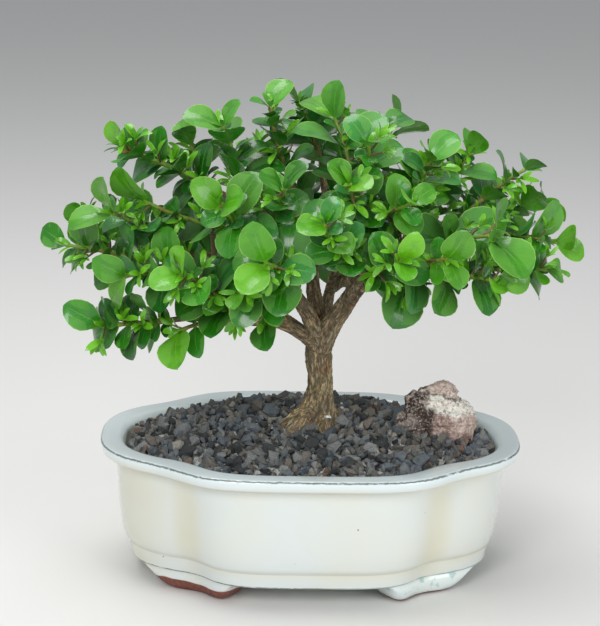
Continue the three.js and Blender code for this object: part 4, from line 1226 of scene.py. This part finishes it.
def grow_side_shoots(spray, leaves, lines):
    """Short side shoots between the pairs, where there is room, each with a star of narrow young leaves."""
    draw = np.random.default_rng(700 + spray["seed"])
    path = twig_path(spray)
    spray["side_shoots"] = []
    for share in np.linspace(*SIDE_SHARES, 2 * spray["pairs"] + 1):
        base, tangent = on_path(path, share)
        outward = unit(base - CROWN_CENTRE) + draw.uniform(-0.5, 0.5, 3)
        outward = outward + (0, 0.5 if base[1] > BACK_LINE else -0.5, 0.3)
        outward = unit(unit(outward - tangent * (outward @ tangent)) + tangent * 0.4)
        stem = base + outward * np.linspace(0, draw.uniform(*SIDE_LENGTHS), 6)[:, None]
        near = [leaf for leaf in leaves if is_near(leaf["middle"], stem[3], 26)]
        if any(rows_meet(stem[1:], leaf, SIDE_RADIUS + 0.2) for leaf in near):
            continue
        star = []
        for ray in range(STAR_RAYS):
            size, narrow = draw.uniform(*STAR_LENGTHS), draw.uniform(*STAR_WIDTHS)
            spread = draw.uniform(0.25, 1.0)
            for leaf in small_leaves(spray, stem, 0.96, ray * STAR_TURN, spread, size, narrow, draw, YOUNG):
                inside = (np.abs(blade_point(leaf, 1, 0) - CROWN_MIDDLE) < CROWN_HALF).all()
                if inside and is_clear(leaf, leaves + star, lines):
                    star.append(leaf)
                    break
        if len(star) >= STAR_LEAST:
            leaves += star
            lines.append(line_of(stem, SIDE_RADIUS, spray["name"]))
            spray["side_shoots"].append(stem)


def fill_spray(spray, leaves, lines):
    """Leaves between the pairs, small leaves in their axils, and a tuft of young leaves at the tip."""
    draw = np.random.default_rng(500 + spray["seed"])
    path = twig_path(spray)
    pairs = spray["pairs"]
    gap = (LAST_PAIR - FIRST_PAIR) / max(pairs - 1, 1)
    wanted = []
    for step in range(2 * pairs):
        share = FIRST_PAIR + gap * (step * 0.5 - 0.5)
        if 0.1 < share < 0.95:
            size = spray["leaf"] * draw.uniform(*BETWEEN_SHARES)
            turn = draw.uniform(0, math.pi)
            for angle in (turn, turn + math.pi):
                wanted.append((share, angle, 1.1, size, draw.uniform(*BETWEEN_WIDTHS), 0.1))
    for pair in range(pairs):
        turn = draw.uniform(0, math.pi)
        for quarter in range(4):
            share, angle = FIRST_PAIR + gap * pair, turn + math.pi / 2 * quarter
            size, narrow = draw.uniform(*AXIL_LENGTHS), draw.uniform(*AXIL_WIDTHS)
            spread, youth = draw.uniform(0.35, 0.85), draw.uniform(0.5, 0.95)
            wanted.append((share, angle, spread, size, narrow, youth))
    for leaf in range(TUFT_LEAVES):
        size, narrow = draw.uniform(*TUFT_LENGTHS), draw.uniform(*TUFT_WIDTHS)
        share, spread = draw.uniform(0.9, 0.99), draw.uniform(0.2, 0.8)
        wanted.append((share, leaf * 1.9, spread, size, narrow, YOUNG))
    for share, angle, spread, size, narrow, youth in wanted:
        for leaf in small_leaves(spray, path, share, angle, spread, size, narrow, draw, youth):
            if is_clear(leaf, leaves, lines):
                leaves.append(leaf)
                break


keys = ("name", "limb", "at", "tip", "lift", "pairs", "leaf")
sprays = [dict(zip(keys, values), seed=index + 1) for index, values in enumerate(SPRAYS)]
for spray in sprays:
    spray["tip"] = np.array(spray["tip"], float)
wood_lines = [line_of(np.array(points, float), radii[0], None) for points, radii in LIMBS.values()]
wood_lines.append(line_of(np.array(TRUNK_PATH, float), TRUNK_RADII[WAIST], None))
wood_lines += [line_of(twig_path(spray), TWIG_RADIUS, spray["name"]) for spray in sprays]
crown = []
for grow in (grow_leaves, grow_side_shoots, fill_spray):
    for spray in sprays:
        grow(spray, crown, wood_lines)

# The blade: stations from stalk to tip, and sides from edge to edge. Its two faces meet in a thin rim.
LEAF_SHARES = np.array([0, 0.06, 0.14, 0.26, 0.4, 0.55, 0.7, 0.82, 0.91, 0.965, 1.0])
UPPER_SIDES = np.array([-1, -0.52, 0, 0.52, 1])
LEAF_THICKNESS = 0.8
STALK_HALF_WIDTH = 0.7
FULL_LENGTH = 14
TIP_SHARE, TIP_HALF_WIDTH = 0.985, 0.012


def leaf_outline(leaf):
    """Half width at each station: a rounded oval, narrowed to a stalk, and ended in a tiny point."""
    widest = leaf["widest"]
    beyond = np.clip((LEAF_SHARES - widest) / (TIP_SHARE - widest), 0, 1)
    before = np.clip((widest - LEAF_SHARES) / (widest - 0.05), 0, 1)
    outline = np.where(LEAF_SHARES > widest, (1 - beyond**2.1) ** 0.5, (1 - before**1.6) ** 0.75)
    outline[-1] = TIP_HALF_WIDTH
    stalk = STALK_HALF_WIDTH / leaf["half_width"] * min(1, leaf["length"] / FULL_LENGTH)
    return np.maximum(outline, stalk * (1 - LEAF_SHARES) ** 2)


def leaf_shell(leaf, draw):
    """Points and faces of a leaf, 0 or 1 for each face on its upper or under side, and its map: edge to edge,
    then stalk to tip."""
    leaf["widest"] = draw.uniform(0.47, 0.58)
    outline = leaf_outline(leaf)
    shares, sides = np.meshgrid(LEAF_SHARES, UPPER_SIDES, indexing="ij")
    middle = blade_point(leaf, shares, sides, outline[:, None])
    curl = draw.uniform(-0.05, 0.08) * leaf["length"] * np.clip(shares - 0.55, 0, 1) ** 2 * 4
    wave = 0.03 * leaf["half_width"] * np.sin(7 * shares + draw.uniform(0, 6)) * sides**3
    fullness = (1 - sides**2) * (0.5 + np.clip(1 - shares / 0.14, 0, 1))
    thick = LEAF_THICKNESS * min(1, leaf["length"] / FULL_LENGTH) * fullness
    groove = 0.05 * leaf["half_width"] * (sides == 0) * (1 - shares) * (shares > 0.08)
    upper = middle + np.multiply.outer(wave - curl + thick * 0.5 - groove, leaf["face"])
    under = (middle + np.multiply.outer(wave - curl - thick * 0.5, leaf["face"]))[:, 2]
    rows, columns = shares.shape
    points = np.concatenate([upper.reshape(-1, 3), under])
    rib = rows * columns
    faces, kinds = [], []
    for i in range(rows - 1):
        a, b = i * columns, (i + 1) * columns
        faces += [(a + j, b + j, b + j + 1, a + j + 1) for j in range(columns - 1)]
        faces += [(a, rib + i, rib + i + 1, b), (rib + i, a + columns - 1, b + columns - 1, rib + i + 1)]
        kinds += [0] * (columns - 1) + [1, 1]
    end = (rows - 1) * columns
    faces += [(*range(columns), rib), (*range(end + columns - 1, end - 1, -1), rib + rows - 1)]
    kinds += [0, 0]
    spots = np.column_stack([(sides.ravel() + 1) / 2, shares.ravel()])
    return points, faces, kinds, np.vstack([spots, np.column_stack([np.full(rows, 0.5), LEAF_SHARES])])


# A shoot's materials, by their place in its list.
UPPER, UNDER, TWIG, THORN, WITHERED = range(5)


def painted(piece, material):
    """The piece, with all its faces in one of the shoot's materials."""
    piece.data.polygons.foreach_set("material_index", [material] * len(piece.data.polygons))
    return piece


# Forked thorns: the large ones stand at the shares given, and the rest are small and seeded.
THORNS = {
    "left_tip": 0.4, "low_left": 0.3, "upper_left": 0.5, "top": 0.45, "shoulder": 0.5, "right_tip": 0.35,
}
THORN_STALK, THORN_POINT = 4.5, 5
THORN_RADII = np.array([0.75, 0.66, 0.6, 0.42, 0.08])


def thorn(path, share, angle, size):
    """A short stalk that forks into two sharp points, for which travel runs from 0 at the twig to 1."""
    base, tangent = on_path(path, share)
    out = square_to(tangent, angle)
    fork = base + out * THORN_STALK * size
    prongs = []
    for side in (-1, 1):
        point = fork + (out * 0.75 + tangent * side * 0.6) * THORN_POINT * size
        bend = fork + (out * 0.5 + tangent * side * 0.2) * THORN_POINT * size * 0.6
        line = np.array([base, (base + fork) / 2, fork, bend, point])
        rings = tube_rings(line, THORN_RADII * (0.5 + size * 0.5), 7)
        prongs.append(painted(extrude_rings("thorn", rings, [0, 0.25, 0.5, 0.75, 1]), THORN))
    return prongs


DRIED_FLOWERS = ["crest_right", "centre_low", "upper_left", "centre", "back_high", "right_back"]
PETAL_REACHES = (0.4, 2, 3.4, 4.6, 5.4)
PETAL_RADII = np.array([0.5, 0.42, 0.36, 0.3, 0.1])


def dried_flower(path, draw):
    """The curled strips of a withered flower's petals, left on a twig's end."""
    base, tangent = on_path(path, 0.9)
    strips = []
    for strip in range(6):
        aim = unit(tangent + draw.normal(0, 0.55, 3))
        curl = draw.normal(0, 0.8, 3)
        line = np.array([base + aim * reach + curl * (reach / 5) ** 2 for reach in PETAL_REACHES])
        rings = tube_rings(line, PETAL_RADII, 5)
        strips.append(painted(extrude_rings("petal", rings), WITHERED))
    return strips


def build_twigs(spray):
    """The twig, with a knot at each pair of leaves, and its side shoots."""
    path = twig_path(spray, 40)
    shares = np.linspace(0, 1, len(path))
    pair_shares = np.linspace(FIRST_PAIR, LAST_PAIR, max(spray["pairs"], 2))
    knots = 1 + 0.3 * np.exp(-((shares[:, None] - pair_shares) / 0.02) ** 2).max(axis=1)
    radii = TWIG_RADIUS * np.linspace(1.15, 0.6, len(path)) * knots
    stems = [(path, radii, TWIG_SIDES)]
    for path in spray["side_shoots"]:
        stems.append((path, SIDE_RADIUS * np.linspace(1.2, 0.8, len(path)), 7))
    pieces = []
    for path, radii, sides in stems:
        twig = extrude_rings("twig", tube_rings(path, radii, sides), travelled(list(path * MM)))
        pieces.append(painted(twig, TWIG))
    return pieces


def build_leaves(spray, draw):
    """All the shoot's leaves as one mesh, mapped, with each leaf's youth, a chance for its painted sheen and
    one for its colour.
    """
    heap = Heap()
    sides, spots, tints = [], [], []
    for leaf in crown:
        if leaf["owner"] != spray["name"]:
            continue
        points, faces, leaf_sides, mapped = leaf_shell(leaf, draw)
        heap.add(points, faces)
        sides += leaf_sides
        spots.append(mapped)
        youth = np.clip(leaf["youth"] * 0.9 + draw.normal(0, 0.18), 0, 1)
        tints += [(youth, draw.uniform(0, 1), draw.uniform(0, 1), 1)] * len(points)
    leaves = heap.piece("leaves", "tint", tints)
    mesh = leaves.data
    mesh.polygons.foreach_set("material_index", sides)
    corners = np.zeros(len(mesh.loops), np.int32)
    mesh.loops.foreach_get("vertex_index", corners)
    mapped = np.vstack(spots)[corners].astype(np.float32)
    mesh.uv_layers.new(name="blade").data.foreach_set("uv", mapped.ravel())
    return leaves


def build_spray(spray):
    """One shoot: its leaves, twigs, thorns and dried flower as one piece, with five materials."""
    draw = np.random.default_rng(100 + spray["seed"])
    path = twig_path(spray)
    parts = build_twigs(spray)
    if spray["name"] in THORNS:
        parts += thorn(path, THORNS[spray["name"]], spray["seed"], 1)
    for share in draw.uniform(0.25, 0.9, 2):
        parts += thorn(path, share, draw.uniform(0, 2 * math.pi), draw.uniform(0.4, 0.7))
    parts.insert(0, build_leaves(spray, draw))
    if spray["name"] in DRIED_FLOWERS:
        parts += dried_flower(path, draw)
    for part in parts:
        for material in leaf_materials:
            part.data.materials.append(material)
    dress(joined("shoot_" + spray["name"], parts), leaf_materials, "spray_" + spray["name"], 60)


def leaf_finish(name, upper):
    """Waxy green, darker when old and lime when young, with a painted bluish sheen, a pale midrib, veins and
    rim.
    """
    finish = Finish(name, IOR=1.45)
    place, _ = finish.place()
    youth, sky_sheen, chance = finish.parts(finish.vector("tint"))
    across, along, _ = finish.parts(finish.node("ShaderNodeUVMap", {"uv_map": "blade"}))
    side = abs(across - 0.5) * 2
    mottle = finish.noise(place, 180, 4, 0.6)
    old = finish.mix(chance, rgb(10, 82, 4), rgb(42, 134, 8))
    # Painted reflection: some older leaves are tinted pale bluish green for the sky's sheen on their wax.
    old = finish.mix(sky_sheen.step(0.6, 0.9) * 0.65, old, rgb(56, 136, 62))
    tone = finish.mix(youth.step(0.08, 1), old, rgb(106, 182, 18))
    tone = finish.mix(mottle.step(0.4, 0.7) * 0.35, tone, rgb(22, 98, 10))
    wave = (along * 62 - side * 20).maths("SINE")
    veins = wave.step(0.86, 1.0) * (1 - side.step(0.75, 0.95)) * along.step(0.08, 0.2)
    tone = finish.mix(veins * 0.07, tone, rgb(140, 196, 110))
    midrib = (1 - side.step(0.02, 0.055)) * (1 - along.step(0.45, 0.9) * 0.8)
    tone = finish.mix(midrib * 0.3, tone, rgb(138, 194, 84))
    # The pale rim is partly the leaf's own margin and partly a painted edge highlight.
    rim = side.step(0.93, 0.985)
    tone = finish.mix(rim * 0.5, tone, rgb(168, 208, 104))
    stalk = 1 - along.step(0.04, 0.13)
    tone = finish.mix(stalk * 0.8, tone, rgb(150, 188, 72))
    if upper:
        finish.set(Base_Color=tone, Roughness=0.28 + mottle * 0.14, Coat_Weight=0.55, Coat_Roughness=0.15)
    else:
        finish.set(Base_Color=finish.mix(0.22, tone, rgb(130, 184, 90)), Roughness=0.5 + mottle * 0.1)
    finish.bump(mottle * 0.8 + veins * 0.15 - midrib * 0.7, 0.0003, 0.6)
    return finish.material


def green_twig():
    """Young bark: lime green at the growing end, brown and corky at the start of the shoot."""
    finish = Finish("green_twig", Roughness=0.5)
    place, _ = finish.place()
    travel = finish.value("travel")
    speck = finish.noise(place, 500, 3, 0.6)
    patch = finish.noise(place, 120, 2)
    green = finish.mix(speck, rgb(88, 124, 34), rgb(134, 164, 60))
    green = finish.mix(patch.step(0.55, 0.66) * 0.6, green, rgb(132, 92, 52))
    brown = finish.mix(speck, rgb(82, 66, 44), rgb(132, 110, 76))
    finish.set(Base_Color=finish.mix((travel + (patch - 0.5) * 0.03).step(0.008, 0.03), brown, green))
    finish.bump(speck, 0.0004, 0.5)
    return finish.material


def thorn_skin():
    """Green thorns with a reddish-brown point."""
    finish = Finish("thorn_skin", Roughness=0.45)
    travel = finish.value("travel")
    finish.set(Base_Color=finish.mix(travel.step(0.6, 0.9), rgb(128, 164, 62), rgb(128, 64, 38)))
    return finish.material


def withered():
    """Dry straw-brown petals."""
    finish = Finish("withered_petal", Roughness=0.9)
    place, _ = finish.place()
    finish.set(Base_Color=finish.mix(finish.noise(place, 900, 2), rgb(134, 96, 48), rgb(192, 156, 92)))
    return finish.material


leaf_materials = [leaf_finish("leaf_upper", True), leaf_finish("leaf_under", False)]
leaf_materials += [green_twig(), thorn_skin(), withered()]
for spray in sprays:
    build_spray(spray)


# Studio
# A plain pale floor, soft lights and a camera where the photograph was taken from.
bpy.ops.object.select_all(action="DESELECT")
bpy.ops.mesh.primitive_plane_add(size=8, location=(0, 0, 0))
floor = bpy.context.active_object
floor.name = "floor"
floor_finish = Finish("floor_paper", Base_Color=rgb(226, 225, 222), Roughness=0.9)
floor.data.materials.append(floor_finish.material)

world = bpy.data.worlds.new("studio")
bpy.context.scene.world = world
world.use_nodes = True
world.node_tree.nodes["Background"].inputs["Color"].default_value = (0.86, 0.89, 0.93, 1)
world.node_tree.nodes["Background"].inputs["Strength"].default_value = 0.42
bpy.context.scene.view_settings.view_transform = "Standard"


def soft_light(name, place, size, power, aim=(0, 0, 0.12)):
    bpy.ops.object.light_add(type="AREA", location=place)
    light = bpy.context.active_object
    light.name = name
    light.data.size = size
    light.data.energy = power
    light.rotation_euler = (Vector(aim) - Vector(place)).to_track_quat("-Z", "Y").to_euler()


soft_light("overhead", (-0.2, 0.1, 1.2), 0.8, 9)
soft_light("front_left", (-0.4, -1.2, 0.85), 0.6, 9.5)
soft_light("front_right", (1.0, -1.0, 0.45), 0.8, 7)

CAMERA_ELEVATION = math.radians(16.05)
CAMERA_YAW = math.radians(-1.841)
CAMERA_ROLL = math.radians(-1.307)
CAMERA_DISTANCE = 1.0369
CAMERA_TARGET = Vector((0, 0, 0.1))
FOCAL_PIXELS = 2153.8
IMAGE_WIDTH = 600
SENSOR_WIDTH = 36
CENTRE_OFFSET = (11.96, 57.03)
level_back = Vector((math.sin(CAMERA_YAW), -math.cos(CAMERA_YAW), 0))
back = level_back * math.cos(CAMERA_ELEVATION) + Vector((0, 0, math.sin(CAMERA_ELEVATION)))
level_right = Vector((math.cos(CAMERA_YAW), math.sin(CAMERA_YAW), 0))
level_up = back.cross(level_right)
right = level_right * math.cos(CAMERA_ROLL) - level_up * math.sin(CAMERA_ROLL)
up = level_right * math.sin(CAMERA_ROLL) + level_up * math.cos(CAMERA_ROLL)
camera_data = bpy.data.cameras.new("camera")
camera_data.sensor_fit = "HORIZONTAL"
camera_data.sensor_width = SENSOR_WIDTH
camera_data.lens = FOCAL_PIXELS * SENSOR_WIDTH / IMAGE_WIDTH
camera_data.shift_x = -CENTRE_OFFSET[0] / IMAGE_WIDTH
camera_data.shift_y = CENTRE_OFFSET[1] / IMAGE_WIDTH
camera = bpy.data.objects.new("camera", camera_data)
bpy.context.scene.collection.objects.link(camera)
turn = Matrix((right, up, back)).transposed().to_4x4()
camera.matrix_world = Matrix.Translation(CAMERA_TARGET + back * CAMERA_DISTANCE) @ turn
bpy.context.scene.camera = camera

bpy.context.view_layer.update()
